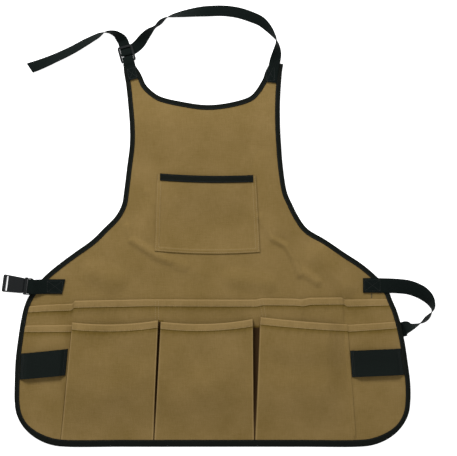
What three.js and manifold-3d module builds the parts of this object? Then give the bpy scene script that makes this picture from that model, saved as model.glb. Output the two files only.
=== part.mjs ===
// A gardening apron of olive canvas, laid flat on a floor and seen from above.
// Millimetres, +Z up. X = 0 is the middle of the skirt, Y = 0 the lower hem and Z = 0 the floor,
// until the last lines move the whole model so that its own middle stands over the origin.
import * as THREE from 'three';
import { mergeVertices } from 'three/addons/utils/BufferGeometryUtils.js';
import Module from 'manifold-3d';

const wasm = await Module();
wasm.setup();

// Cloth
const skirtWidth = 672;
const apronHeight = 650;
const cornerWidth = 88;
const cornerHeight = 76;
const canvasThickness = 1.1;
const layerGap = 0.35;

// Binding tape, folded round the edges as a channel
const tapeThickness = 0.8;
const bindingLeg = 8.5;
const hemBindingLeg = 12;
const tapeRamp = 8;
const tapeFoldClearance = 1.6;

// Pockets: heights of the mouths above the lower hem, and how far each mouth stands open
const pocketMouthHeight = 213;
const pocketOpening = 11;
const upperPocketHeight = 250;
const upperPocketOpening = 1.5;
const upperPocketOpenDepth = 30;
const chestPocketWidth = 168;
const chestPocketDepth = 131.5;
const chestPocketMouthHeight = 463.5;
const chestPocketAcross = -10;
const chestPocketOpening = 7;
const chestBandWidth = 12.2;
const chestBandLength = 158;
const pocketSeamGap = 0.8;

// Elastic tool bands at the sides
const elasticWidth = 45;
const elasticHeight = 137;
const elasticThickness = 1.5;
const elasticOpening = 7.6;

// Webbing
const webbingThickness = 1.2;
const neckWebbingWidth = 18.5;
const waistWebbingWidth = 25;
const waistHeight = 272;
const waistSewnLength = 49;
const neckLoopRise = 100;
const tailReach = 164;
const waistLoopReach = 94;
const hiddenRunLength = 180;

// Plastic hardware
const barThickness = 1.75;
const barWidth = 3.5;
const ladderLength = 28.5;
const ladderRail = 3.5;
const ladderHeight = 3.9;
const ladderTilt = 15.5;
const ladderAbove = 17.3;
const ladderAcross = -3.6;
const shoulderSewnReach = 45;
const buckleWidth = 30;
const buckleThickness = 7.2;
const plugLength = 14.5;
const socketLength = 36.5;
const socketJointWidth = 26;
const socketWall = 1.3;
const buckleTilt = 7.6;
const buckleOverEdge = 6.5;
const buckleLean = 4.78;

// The side edges: height as a share of apronHeight, left and right as shares of half the skirt.
const edgeRows = [
  { up: 1.0, left: -0.451, right: 0.358 },
  { up: 0.979, left: -0.448, right: 0.352 },
  { up: 0.948, left: -0.438, right: 0.347 },
  { up: 0.901, left: -0.428, right: 0.342 },
  { up: 0.838, left: -0.418, right: 0.342 },
  { up: 0.791, left: -0.418, right: 0.347 },
  { up: 0.728, left: -0.433, right: 0.357 },
  { up: 0.665, left: -0.448, right: 0.377 },
  { up: 0.634, left: -0.458, right: 0.403 },
  { up: 0.603, left: -0.489, right: 0.433 },
  { up: 0.571, left: -0.549, right: 0.478 },
  { up: 0.54, left: -0.61, right: 0.575 },
  { up: 0.508, left: -0.696, right: 0.666 },
  { up: 0.477, left: -0.777, right: 0.757 },
  { up: 0.446, left: -0.848, right: 0.828 },
  { up: 0.414, left: -0.901, right: 0.884 },
  { up: 0.383, left: -0.939, right: 0.909 },
  { up: 0.352, left: -0.959, right: 0.934 },
  { up: 0.289, left: -0.98, right: 0.965 },
  { up: 0.226, left: -0.995, right: 0.985 },
  { up: 0.163, left: -1.0, right: 1.0 },
];

// The neckline: the same shares, from the shoulder ends down to the lowest place.
const neckRows = [
  { up: 1.0, left: -0.395, right: 0.287 },
  { up: 0.979, left: -0.367, right: 0.266 },
  { up: 0.963, left: -0.352, right: 0.256 },
  { up: 0.948, left: -0.339, right: 0.24 },
  { up: 0.932, left: -0.311, right: 0.22 },
  { up: 0.916, left: -0.266, right: 0.19 },
  { up: 0.901, left: -0.149, right: 0.104 },
];
const neckLowest = { up: 0.893, across: -0.022 };

// The front pockets: sides as shares of half the skirt at the mouth and at the foot,
// and the mouth's height at its left, middle and right as shares of pocketMouthHeight.
const frontPockets = [
  { name: 'pocket_left', mouth: [-0.708, -0.273], foot: [-0.77, -0.3], rise: [0.994, 0.979, 1.01] },
  { name: 'pocket_centre', mouth: [-0.261, 0.202], foot: [-0.291, 0.209], rise: [1.0, 0.983, 1.021] },
  { name: 'pocket_right', mouth: [0.245, 0.681], foot: [0.222, 0.729], rise: [1.036, 1.002, 0.978] },
];
const sidePocketRise = { left: [0.968, 0.965, 0.972], right: [0.972, 0.985, 1.002] };

// The mouth line of the wide upper pocket, as shares of half the skirt and of upperPocketHeight.
const upperPocketMouth = [
  { across: -1.0, rise: 0.955 },
  { across: -0.72, rise: 0.976 },
  { across: -0.66, rise: 0.994 },
  { across: -0.33, rise: 1.002 },
  { across: 0.04, rise: 1.0 },
  { across: 0.47, rise: 1.01 },
  { across: 0.65, rise: 1.015 },
  { across: 0.72, rise: 1.0 },
  { across: 1.0, rise: 1.007 },
];
const upperPocketSeams = [-0.88, -0.28, 0.245, 0.85];

// Soft folds of the laid cloth: ends as shares of half the skirt and of apronHeight,
// heights and breadths in millimetres.
const folds = [
  { from: [-0.418, 0.561], to: [-0.36, 0.47], height: 4, flat: 0, spread: 22 },
  { from: [-0.36, 0.47], to: [-0.165, 0.42], height: 4, flat: 0, spread: 22 },
  { from: [0.367, 0.514], to: [0.443, 0.44], height: 4, flat: 0, spread: 30 },
  { from: [0.5, 0.485], to: [0.62, 0.43], height: 5, flat: 0, spread: 36 },
  { from: [-0.6, 0.455], to: [-0.5, 0.435], height: 3, flat: 0, spread: 30 },
];

// Colours
const colours = {
  canvas: 0x87704a,
  tape: 0x1d2021,
  webbing: 0x1a2021,
  elastic: 0x1b1f1c,
  plastic: 0x24292a,
};

const half = skirtWidth / 2;
const group = new THREE.Group();

function lerp(a, b, t) {
  return a + (b - a) * t;
}

function smooth(t) {
  const c = Math.min(1, Math.max(0, t));
  return c * c * (3 - 2 * c);
}

// A closed solid from positions and triangles, turned outwards if it is inside out.
function solid(positions, triangles) {
  let volume = 0;
  const a = new THREE.Vector3();
  const b = new THREE.Vector3();
  const c = new THREE.Vector3();
  for (let i = 0; i < triangles.length; i += 3) {
    a.fromArray(positions, triangles[i] * 3);
    b.fromArray(positions, triangles[i + 1] * 3);
    c.fromArray(positions, triangles[i + 2] * 3);
    volume += a.dot(b.cross(c));
  }
  const facing = volume < 0 ? triangles.slice().reverse() : triangles;
  const geometry = new THREE.BufferGeometry();
  geometry.setAttribute('position', new THREE.Float32BufferAttribute(positions, 3));
  geometry.setIndex(facing);
  return geometry;
}

function add(name, geometry, colour, roughness) {
  const material = new THREE.MeshStandardMaterial({ color: colour, roughness, metalness: 0 });
  const mesh = new THREE.Mesh(geometry, material);
  mesh.name = name;
  group.add(mesh);
  return mesh;
}

// A sheet: a grid of places with a lower and an upper height at each, closed round its rim.
function sheet(rows, lower, upper) {
  const across = rows[0].length;
  const count = rows.length * across;
  const positions = [];
  for (const height of [lower, upper]) {
    rows.forEach((row, j) => row.forEach((place, i) => {
      positions.push(place.x, place.y, height(place, i, j));
    }));
  }
  const triangles = [];
  for (let j = 0; j + 1 < rows.length; j += 1) {
    for (let i = 0; i + 1 < across; i += 1) {
      const a = j * across + i;
      const b = a + 1;
      const c = b + across;
      const d = a + across;
      triangles.push(a, c, b, a, d, c);
      triangles.push(count + a, count + b, count + c, count + a, count + c, count + d);
    }
  }
  const rim = [];
  for (let i = 0; i < across; i += 1) rim.push(i);
  for (let j = 1; j < rows.length; j += 1) rim.push(j * across + across - 1);
  for (let i = across - 2; i >= 0; i -= 1) rim.push((rows.length - 1) * across + i);
  for (let j = rows.length - 2; j > 0; j -= 1) rim.push(j * across);
  rim.forEach((a, k) => {
    const b = rim[(k + 1) % rim.length];
    triangles.push(a, b, count + b, a, count + b, count + a);
  });
  return solid(positions, triangles);
}

// A section carried through stations, each with an origin and two axes, and capped at both ends.
function sweep(stations) {
  const size = stations[0].section.length;
  const positions = [];
  for (const station of stations) {
    for (const [u, v] of station.section) {
      const point = station.origin.clone().addScaledVector(station.u, u).addScaledVector(station.v, v);
      positions.push(point.x, point.y, point.z);
    }
  }
  const triangles = [];
  for (let k = 0; k + 1 < stations.length; k += 1) {
    for (let i = 0; i < size; i += 1) {
      const a = k * size + i;
      const b = k * size + (i + 1) % size;
      triangles.push(a, b, b + size, a, b + size, a + size);
    }
  }
  const cap = (k, turned) => {
    const outline = stations[k].section.map(([u, v]) => new THREE.Vector2(u, v));
    const flip = THREE.ShapeUtils.isClockWise(outline) !== turned;
    for (const [a, b, c] of THREE.ShapeUtils.triangulateShape(outline, [])) {
      const first = k * size;
      if (flip) triangles.push(first + a, first + b, first + c);
      else triangles.push(first + a, first + c, first + b);
    }
  };
  cap(0, false);
  cap(stations.length - 1, true);
  return solid(positions, triangles);
}

// A curve in the plane with its inner side on the left (side = 1) or the right (side = -1).
class Edge {
  constructor(points, side) {
    this.curve = new THREE.CatmullRomCurve3(points.map(([x, y]) => new THREE.Vector3(x, y, 0)), false, 'centripetal');
    this.curve.arcLengthDivisions = 1200;
    this.side = side;
    this.length = this.curve.getLength();
  }

  at(share, inset = 0) {
    const point = this.curve.getPointAt(share);
    const inward = this.inward(share);
    return new THREE.Vector2(point.x, point.y).addScaledVector(inward, inset);
  }

  inward(share) {
    const tangent = this.curve.getTangentAt(share);
    return new THREE.Vector2(-tangent.y * this.side, tangent.x * this.side);
  }

  shareNear(x, y) {
    const steps = 2000;
    let best = 0;
    let nearest = Infinity;
    for (let k = 0; k <= steps; k += 1) {
      const point = this.curve.getPointAt(k / steps);
      const distance = Math.hypot(point.x - x, point.y - y);
      if (distance < nearest) {
        nearest = distance;
        best = k / steps;
      }
    }
    return best;
  }

  // The share of the edge at a height, on its left (first) or right (second) side.
  shareAtHeight(y, right) {
    let low = right ? 1 : 0;
    let high = 0.5;
    for (let k = 0; k < 40; k += 1) {
      const middle = (low + high) / 2;
      if (this.curve.getPointAt(middle).y > y) low = middle;
      else high = middle;
    }
    return (low + high) / 2;
  }
}

const cornerTurns = [15, 30, 45, 60, 75, 90];

function outerEdgePoints() {
  const left = edgeRows.map((row) => [row.left * half, row.up * apronHeight]);
  const right = edgeRows.map((row) => [row.right * half, row.up * apronHeight]);
  const corner = (side) => [0, ...cornerTurns].map((turn) => {
    const angle = THREE.MathUtils.degToRad(turn);
    return [side * (half - cornerWidth * (1 - Math.cos(angle))), cornerHeight * (1 - Math.sin(angle))];
  });
  const hem = [-0.45, -0.15, 0.15, 0.45].map((share) => [share * half, 0]);
  return [...left, ...corner(-1), ...hem, ...corner(1).reverse(), ...right.reverse()];
}

const edge = new Edge(outerEdgePoints(), 1);
const cornerMiddle = (side) => {
  const angle = Math.PI / 4;
  return edge.shareNear(side * (half - cornerWidth * (1 - Math.cos(angle))), cornerHeight * (1 - Math.sin(angle)));
};
const leftCorner = cornerMiddle(-1);
const rightCorner = cornerMiddle(1);

const neck = new Edge([
  ...neckRows.map((row) => [row.left * half, row.up * apronHeight]),
  [neckLowest.across * half, neckLowest.up * apronHeight],
  ...neckRows.slice().reverse().map((row) => [row.right * half, row.up * apronHeight]),
], -1);

// The strap that comes back under the skirt at the right: the cloth rises over it.
const hiddenRunHeight = 200;
const hiddenRunEdge = edge.at(edge.shareAtHeight(hiddenRunHeight, true));
const hiddenRunEnd = new THREE.Vector2(hiddenRunEdge.x - hiddenRunLength, hiddenRunHeight - 8);
const strapRidge = {
  from: [(hiddenRunEdge.x + waistWebbingWidth) / half, hiddenRunHeight / apronHeight],
  to: [hiddenRunEnd.x / half, hiddenRunEnd.y / apronHeight],
  height: webbingThickness + layerGap,
  flat: waistWebbingWidth / 2 + 15,
  spread: 34,
};

// How far the cloth lies above the floor, from the folds.
function lift(x, y) {
  let height = 0;
  for (const fold of [...folds, strapRidge]) {
    const ax = fold.from[0] * half;
    const ay = fold.from[1] * apronHeight;
    const bx = fold.to[0] * half;
    const by = fold.to[1] * apronHeight;
    const along = ((x - ax) * (bx - ax) + (y - ay) * (by - ay)) / ((bx - ax) ** 2 + (by - ay) ** 2);
    const t = Math.min(1, Math.max(0, along));
    const distance = Math.hypot(x - lerp(ax, bx, t), y - lerp(ay, by, t));
    const rise = fold.height * smooth(1 - (distance - fold.flat) / fold.spread);
    height = Math.max(height, rise);
  }
  return height;
}

// Layer heights
const panelBottom = tapeThickness + layerGap;
const panelTop = panelBottom + canvasThickness;
const layerStep = canvasThickness + layerGap;
const upperPocketTop = panelTop + layerStep;
const frontPocketTop = upperPocketTop + layerStep;

function tableAt(rows, key, value, x) {
  for (let k = 0; k + 1 < rows.length; k += 1) {
    if (x <= rows[k + 1][key]) {
      const t = (x - rows[k][key]) / (rows[k + 1][key] - rows[k][key]);
      return lerp(rows[k][value], rows[k + 1][value], Math.max(0, t));
    }
  }
  return rows[rows.length - 1][value];
}

const upperMouthAt = (x) => upperPocketHeight * tableAt(upperPocketMouth, 'across', 'rise', x / half);

// How many pocket layers the binding holds at a height on the edge, eased in above each mouth.
function heldLayers(y, upperMouth, frontMouth) {
  const upper = smooth((upperMouth + tapeRamp - y) / (tapeRamp / 2));
  const front = smooth((frontMouth + tapeRamp - y) / (tapeRamp / 2));
  return upper + front;
}

// The folded tape's section: how far in from the edge and how high.
function channel(leg, height) {
  const round = tapeThickness * 0.6;
  return [
    [leg, 0], [round, 0], [0, round], [0, height - round], [round, height], [leg, height],
    [leg, height - tapeThickness], [tapeThickness, height - tapeThickness],
    [tapeThickness, tapeThickness], [leg, tapeThickness],
  ];
}

function bindingStation(curve, share, leg, layers) {
  const point = curve.at(share);
  const inward = curve.inward(share);
  const middle = curve.at(share, leg / 2);
  const height = 2 * panelBottom + canvasThickness + layers * layerStep;
  return {
    origin: new THREE.Vector3(point.x, point.y, lift(middle.x, middle.y)),
    u: new THREE.Vector3(inward.x, inward.y, 0),
    v: new THREE.Vector3(0, 0, 1),
    section: channel(leg, height),
  };
}

// Outer binding, from the left shoulder round the hem to the right shoulder
{
  const ramps = [];
  for (const right of [false, true]) {
    const label = right ? 'right' : 'left';
    const frontMouth = pocketMouthHeight * Math.max(...sidePocketRise[label]);
    const upperMouth = upperMouthAt(right ? half : -half);
    for (const mouth of [upperMouth, frontMouth]) {
      ramps.push(edge.shareAtHeight(mouth + tapeRamp, right), edge.shareAtHeight(mouth + tapeRamp / 2, right));
    }
  }
  const places = [...shares(100), ...ramps].sort((a, b) => a - b);
  const stations = [];
  for (const share of places) {
    const point = edge.at(share);
    const side = point.x < 0 ? 'left' : 'right';
    const frontMouth = pocketMouthHeight * Math.max(...sidePocketRise[side]);
    const layers = heldLayers(point.y, upperMouthAt(point.x), frontMouth);
    const leg = lerp(bindingLeg, hemBindingLeg, smooth((cornerHeight / 2 - point.y) / (cornerHeight / 2)));
    stations.push(bindingStation(edge, share, leg, layers));
  }
  add('edge_binding', sweep(stations), colours.tape, 0.9);
}

// Neckline binding
{
  const steps = 30;
  const stations = [];
  for (let k = 0; k <= steps; k += 1) {
    stations.push(bindingStation(neck, k / steps, bindingLeg, 0));
  }
  add('neckline_binding', sweep(stations), colours.tape, 0.9);
}

// A grid between four boundary lines, each a function of a share from 0 to 1.
function patch(left, right, bottom, top, across, upward) {
  return upward.map((v) => across.map((u) => {
    const sides = left(v).multiplyScalar(1 - u).add(right(v).multiplyScalar(u));
    const ends = bottom(u).multiplyScalar(1 - v).add(top(u).multiplyScalar(v));
    const low = bottom(0).multiplyScalar((1 - u) * (1 - v)).add(bottom(1).multiplyScalar(u * (1 - v)));
    const high = top(0).multiplyScalar((1 - u) * v).add(top(1).multiplyScalar(u * v));
    return sides.add(ends).sub(low).sub(high);
  }));
}

function shares(count) {
  return Array.from({ length: count + 1 }, (_, k) => k / count);
}

const between = (a, b) => (t) => a.clone().lerp(b, t);
const edgeInset = tapeThickness + tapeFoldClearance;
const along = (from, to) => (t) => edge.at(lerp(from, to, t), edgeInset);

// A sheet on top of the folds, a given height above the cloth's own lift. A pocket layer
// bridges a fold a little higher than the cloth under it.
function layer(rows, bottom, raise = () => 0, extra = () => 0) {
  const bridging = 1 + 0.05 * Math.round((bottom - panelBottom) / layerStep);
  const lower = (place, i, j) => bridging * lift(place.x, place.y) + bottom + raise(place, i, j);
  const upper = (place, i, j) => lower(place, i, j) + canvasThickness + extra(place, i, j);
  return sheet(rows, lower, upper);
}

// Body panel: one cut of canvas from the shoulders to the hem
{
  const shoulderShare = 0.07;
  const top = (u) => {
    if (u < shoulderShare) return edge.at(0, edgeInset).lerp(neck.at(0, edgeInset), u / shoulderShare);
    if (u > 1 - shoulderShare) {
      return edge.at(1, edgeInset).lerp(neck.at(1, edgeInset), (1 - u) / shoulderShare);
    }
    return neck.at((u - shoulderShare) / (1 - 2 * shoulderShare), edgeInset);
  };
  const neckColumns = shares(24).map((t) => lerp(shoulderShare, 1 - shoulderShare, t));
  const across = [0, shoulderShare / 2, ...neckColumns, 1 - shoulderShare / 2, 1];
  const rows = patch(
    along(leftCorner, 0), along(rightCorner, 1), along(leftCorner, rightCorner), top, across, shares(28),
  );
  add('body_panel', layer(rows, panelBottom), colours.canvas, 0.95);
}

// A rise from both ends of a share: level in the middle, down to nothing over the ease at each end.
function plateau(t, ease) {
  return smooth(t / ease) * smooth((1 - t) / ease);
}

// Wide upper pocket: its mouth stands a little open between the seams
{
  const leftShare = edge.shareAtHeight(upperMouthAt(-half), false);
  const rightShare = edge.shareAtHeight(upperMouthAt(half), true);
  const leftEnd = edge.at(leftShare, edgeInset);
  const rightEnd = edge.at(rightShare, edgeInset);
  const top = (u) => {
    const x = lerp(leftEnd.x, rightEnd.x, u);
    const ends = Math.min(1, Math.min(u, 1 - u) * 20);
    return new THREE.Vector2(x, lerp(lerp(leftEnd.y, rightEnd.y, u), upperMouthAt(x), ends));
  };
  const raise = (place) => {
    const x = place.x / half;
    const below = upperMouthAt(place.x) - place.y;
    let open = 0;
    for (let k = 0; k + 1 < upperPocketSeams.length; k += 1) {
      const from = upperPocketSeams[k];
      const to = upperPocketSeams[k + 1];
      if (x > from && x < to) open = plateau((x - from) / (to - from), 0.3);
    }
    return upperPocketOpening * open * smooth(1 - below / upperPocketOpenDepth);
  };
  const upward = [0, 0.06, 0.2, 0.36, 0.52, 0.66, 0.78, 0.86, 0.93, 1];
  const rows = patch(
    along(leftCorner, leftShare), along(rightCorner, rightShare), along(leftCorner, rightCorner),
    top, shares(30), upward,
  );
  add('upper_pocket', layer(rows, panelTop + layerGap, raise), colours.canvas, 0.95);
}

const hemShare = (x) => edge.shareNear(x, 0);

// Front pockets: each stands open at its mouth and closes towards its sides and foot
for (const pocket of frontPockets) {
  const mouthY = pocket.rise.map((share) => share * pocketMouthHeight);
  const footShares = pocket.foot.map((share) => hemShare(share * half));
  const footLeft = edge.at(footShares[0], edgeInset);
  const footRight = edge.at(footShares[1], edgeInset);
  const mouthLeft = new THREE.Vector2(pocket.mouth[0] * half, mouthY[0]);
  const mouthRight = new THREE.Vector2(pocket.mouth[1] * half, mouthY[2]);
  const sag = mouthY[1] - (mouthY[0] + mouthY[2]) / 2;
  const top = (u) => mouthLeft.clone().lerp(mouthRight, u).add(new THREE.Vector2(0, 4 * u * (1 - u) * sag));
  const across = [0, 0.05, 0.12, 0.22, 0.36, 0.5, 0.64, 0.78, 0.88, 0.95, 1];
  const upward = [0, 0.07, 0.16, 0.28, 0.42, 0.56, 0.7, 0.84, 0.94, 1];
  const rows = patch(
    between(footLeft, mouthLeft), between(footRight, mouthRight),
    along(footShares[0], footShares[1]), top, across, upward,
  );
  const raise = (place, i, j) => {
    const crown = 0.75 + 0.25 * Math.sin(Math.PI * across[i]);
    return pocketOpening * plateau(across[i], 0.12) * crown * smooth((upward[j] - 0.07) / 0.93);
  };
  add(pocket.name, layer(rows, upperPocketTop + layerGap, raise), colours.canvas, 0.95);
}

// The line down which a side pocket is sewn, beside the first or last front pocket.
function sideSeam(side) {
  const pocket = side < 0 ? frontPockets[0] : frontPockets[frontPockets.length - 1];
  const index = side < 0 ? 0 : 1;
  return {
    mouth: pocket.mouth[index] * half + side * pocketSeamGap,
    foot: pocket.foot[index] * half + side * pocketSeamGap,
  };
}

// Side pockets: the flat ends of the front layer, out to the binding
for (const [side, label] of [[-1, 'left'], [1, 'right']]) {
  const right = side > 0;
  const seam = sideSeam(side);
  const rise = sidePocketRise[label].map((share) => share * pocketMouthHeight);
  const outerShare = edge.shareAtHeight(right ? rise[2] : rise[0], right);
  const footShare = hemShare(seam.foot);
  const corner = right ? rightCorner : leftCorner;
  const outer = along(corner, outerShare);
  const foot = edge.at(footShare, edgeInset);
  const mouth = new THREE.Vector2(seam.mouth, right ? rise[0] : rise[2]);
  const outerMouth = edge.at(outerShare, edgeInset);
  const inner = between(foot, mouth);
  const rows = right
    ? patch(inner, outer, along(footShare, corner), between(mouth, outerMouth), shares(6), shares(8))
    : patch(outer, inner, along(corner, footShare), between(outerMouth, mouth), shares(6), shares(8));
  add(`side_pocket_${label}`, layer(rows, upperPocketTop + layerGap), colours.canvas, 0.95);
}

// Elastic tool bands, bowed a little off the side pockets
for (const [side, label] of [[-1, 'left'], [1, 'right']]) {
  const right = side > 0;
  const seam = sideSeam(side);
  const seamAt = (y) => lerp(seam.foot, seam.mouth, y / pocketMouthHeight);
  const slant = right ? 5 : 7;
  const middle = elasticHeight + (right ? 4 : 0);
  const outerPoint = (y) => edge.at(edge.shareAtHeight(y, right), bindingLeg + layerGap);
  const innerPoint = (y) => new THREE.Vector2(seamAt(y) + side * 2, y);
  const innerRise = right ? 0 : slant;
  const outerRise = right ? slant : 0;
  const outer = (t) => outerPoint(middle + outerRise + lerp(-elasticWidth / 2, elasticWidth / 2, t));
  const inner = (t) => innerPoint(middle + innerRise + lerp(-elasticWidth / 2, elasticWidth / 2, t));
  const left = right ? inner : outer;
  const last = right ? outer : inner;
  const across = [0, 0.08, 0.18, 0.3, 0.5, 0.7, 0.82, 0.92, 1];
  const rows = patch(left, last, between(left(0), last(0)), between(left(1), last(1)), across, shares(3));
  const raise = (place, i) => elasticOpening * plateau(across[i], 0.3);
  const extra = () => elasticThickness - canvasThickness;
  add(`elastic_band_${label}`, layer(rows, frontPocketTop + layerGap, raise, extra), colours.elastic, 0.85);
}

// Chest pocket, and the tape over its mouth
{
  const leftSide = chestPocketAcross - chestPocketWidth / 2;
  const rightSide = chestPocketAcross + chestPocketWidth / 2;
  const foot = chestPocketMouthHeight - chestPocketDepth;
  const flare = 0.026 * chestPocketWidth;
  const footLeft = new THREE.Vector2(leftSide - flare, foot + 1);
  const footRight = new THREE.Vector2(rightSide + 1.5 * flare, foot - 1);
  const mouthLeft = new THREE.Vector2(leftSide, chestPocketMouthHeight);
  const mouthRight = new THREE.Vector2(rightSide, chestPocketMouthHeight - 3);
  const sagged = (a, b, sag) => (u) => a.clone().lerp(b, u).add(new THREE.Vector2(0, -4 * u * (1 - u) * sag));
  const mouth = sagged(mouthLeft, mouthRight, 3);
  const bandEnd = (1 - chestBandLength / chestPocketWidth) / 2;
  const across = [0, bandEnd, 0.1, 0.2, 0.32, 0.5, 0.68, 0.8, 0.9, 1 - bandEnd, 1];
  const upward = [0, 0.12, 0.3, 0.5, 0.7, 1 - 1.1 * chestBandWidth / chestPocketDepth, 1];
  const rows = patch(
    between(footLeft, mouthLeft), between(footRight, mouthRight),
    sagged(footLeft, footRight, 4), mouth, across, upward,
  );
  const open = (u, v) => chestPocketOpening * plateau(u, 0.3) * smooth((v - 0.3) / 0.7);
  const bandRoom = tapeThickness + layerGap;
  const raise = (place, i, j) => {
    return open(across[i], upward[j]) + bandRoom * smooth(upward[j] / 0.8) * Math.min(1, across[i] / bandEnd,
      (1 - across[i]) / bandEnd);
  };
  add('chest_pocket', layer(rows, panelTop + layerGap, raise), colours.canvas, 0.95);

  const stations = [];
  for (const u of across.slice(1, -1)) {
    const place = mouth(u).add(new THREE.Vector2(0, tapeThickness + layerGap));
    const clothBottom = panelTop + layerGap + open(u, 1) + bandRoom;
    const lowest = upward[upward.length - 2];
    const fall = (open(u, 1) - open(u, lowest)) / ((1 - lowest) * chestPocketDepth);
    stations.push({
      origin: new THREE.Vector3(place.x, place.y, clothBottom - tapeThickness - layerGap),
      u: new THREE.Vector3(0, -1, -fall),
      v: new THREE.Vector3(0, 0, 1),
      section: channel(chestBandWidth, 2 * panelBottom + canvasThickness),
    });
  }
  add('chest_pocket_binding', sweep(stations), colours.tape, 0.9);
}

// A flat strap: its middle line, and at each place the direction of its width.
function ribbon(places, widths, width, thickness) {
  const stations = places.map((place, k) => {
    const before = places[Math.max(0, k - 1)];
    const after = places[Math.min(places.length - 1, k + 1)];
    const tangent = after.clone().sub(before).normalize();
    const u = widths[k].clone().addScaledVector(tangent, -widths[k].dot(tangent)).normalize();
    const v = tangent.clone().cross(u).normalize();
    const w = width / 2;
    const t = thickness / 2;
    return { origin: place, u, v, section: [[-w, -t], [w, -t], [w, t], [-w, t]] };
  });
  return sweep(stations);
}

// The height a strap lies on and its twist, at a share of the way through its rows.
function rowBetween(rows, share) {
  const position = share * (rows.length - 1);
  const k = Math.min(rows.length - 2, Math.floor(position));
  const t = position - k;
  return { on: lerp(rows[k].on, rows[k + 1].on, t), twist: lerp(rows[k].twist, rows[k + 1].twist, t) };
}

// A strap along a route of x, y, the height it lies on and its twist in degrees.
function laidStrap(route, width, stepsPerRow) {
  const path = new THREE.CatmullRomCurve3(route.map((row) => new THREE.Vector3(row.x, row.y, 0)), false, 'centripetal');
  const count = (route.length - 1) * stepsPerRow;
  const places = [];
  const widths = [];
  for (let k = 0; k <= count; k += 1) {
    const t = k / count;
    const place = path.getPoint(t);
    const tangent = path.getTangent(t);
    const held = rowBetween(route, t);
    const twist = THREE.MathUtils.degToRad(held.twist);
    const reach = Math.abs(Math.sin(twist)) * width / 2 + Math.abs(Math.cos(twist)) * webbingThickness / 2;
    places.push(new THREE.Vector3(place.x, place.y, held.on + reach));
    widths.push(new THREE.Vector3(
      -tangent.y * Math.cos(twist), tangent.x * Math.cos(twist), Math.sin(twist),
    ));
  }
  return ribbon(places, widths, width, webbingThickness);
}

const bindingTop = 2 * panelBottom + canvasThickness;
const onBinding = bindingTop + layerGap;
const leftTip = edge.at(0).lerp(neck.at(0), 0.5);
const rightTip = edge.at(1).lerp(neck.at(1), 0.5);

// Neck strap: sewn to the right shoulder, it turns on its edge, comes over the top,
// turns on its edge twice more and goes in under the ladder lock.
// Across is a share of the way between the shoulder ends, rise a share of neckLoopRise.
const neckRoute = [
  { across: 0.966, rise: -0.313, on: 1, twist: 0 },
  { across: 0.976, rise: -0.136, on: 1, twist: 0 },
  { across: 0.99, rise: 0.04, on: 1, twist: 4 },
  { across: 1.003, rise: 0.2, on: 0.5, twist: 38 },
  { across: 1.003, rise: 0.387, on: 0, twist: 88 },
  { across: 0.975, rise: 0.51, on: 0, twist: 112 },
  { across: 0.944, rise: 0.61, on: 0, twist: 130 },
  { across: 0.895, rise: 0.724, on: 0, twist: 150 },
  { across: 0.833, rise: 0.797, on: 0, twist: 164 },
  { across: 0.742, rise: 0.872, on: 0, twist: 175 },
  { across: 0.643, rise: 0.906, on: 0, twist: 180 },
  { across: 0.537, rise: 0.9, on: 0, twist: 183 },
  { across: 0.463, rise: 0.882, on: 0, twist: 205 },
  { across: 0.374, rise: 0.848, on: 0, twist: 228 },
  { across: 0.299, rise: 0.813, on: 0, twist: 248 },
  { across: 0.254, rise: 0.78, on: 0, twist: 270 },
  { across: 0.214, rise: 0.705, on: 0, twist: 292 },
  { across: 0.181, rise: 0.63, on: 0, twist: 270 },
  { across: 0.143, rise: 0.556, on: 0, twist: 302 },
  { across: 0.104, rise: 0.45, on: 0, twist: 328 },
  { across: 0.071, rise: 0.345, on: 0, twist: 356 },
  { across: 0.036, rise: 0.27, on: 0, twist: 360 },
  { across: -0.004, rise: 0.225, on: 0, twist: 360 },
  { across: -0.04, rise: 0.205, on: 0, twist: 360 },
];
{
  const route = neckRoute.map((row) => ({
    x: lerp(leftTip.x, rightTip.x, row.across),
    y: lerp(leftTip.y, rightTip.y, row.across) + row.rise * neckLoopRise,
    on: row.on * onBinding,
    twist: row.twist,
  }));
  add('neck_strap', laidStrap(route, neckWebbingWidth, 3), colours.webbing, 0.8);
}

// The ladder lock's own axes: v runs up along the left shoulder's webbing, u across it.
const ladderAngle = THREE.MathUtils.degToRad(ladderTilt);
const ladderCentre = new THREE.Vector2(leftTip.x + ladderAcross, leftTip.y + ladderAbove);
const ladderU = new THREE.Vector3(Math.cos(ladderAngle), Math.sin(ladderAngle), 0);
const ladderV = new THREE.Vector3(-Math.sin(ladderAngle), Math.cos(ladderAngle), 0);
const ladderPlace = (v, z) => new THREE.Vector3(ladderCentre.x, ladderCentre.y, z).addScaledVector(ladderV, v);
const barBottom = 2 * webbingThickness + 1.6 * layerGap;
const barTop = barBottom + barThickness;
const overBar = barTop + layerGap + webbingThickness / 2;
const underBar = barBottom - layerGap - webbingThickness / 2;
const wrap = barWidth / 2 + layerGap + webbingThickness / 2;
const slotLength = (ladderLength - 3 * barWidth) / 2;
const lowerBar = -ladderLength / 2 + barWidth / 2;
const topBar = ladderLength / 2 - barWidth / 2;
const railInner = neckWebbingWidth / 2 + layerGap;
const railOuter = railInner + ladderRail;

// Half a turn of webbing round a bar at v, from below to above on the given side.
function barTurn(v, side, place) {
  const middle = (barBottom + barTop) / 2;
  return [-90, -60, -30, 0, 30, 60, 90].map((turn) => {
    const angle = THREE.MathUtils.degToRad(turn);
    const reach = middle + Math.sin(angle) * (overBar - middle);
    return place(v + side * (barWidth / 2 - 0.6 + Math.cos(angle) * (wrap - barWidth / 2 + 0.6)), reach);
  });
}

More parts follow.
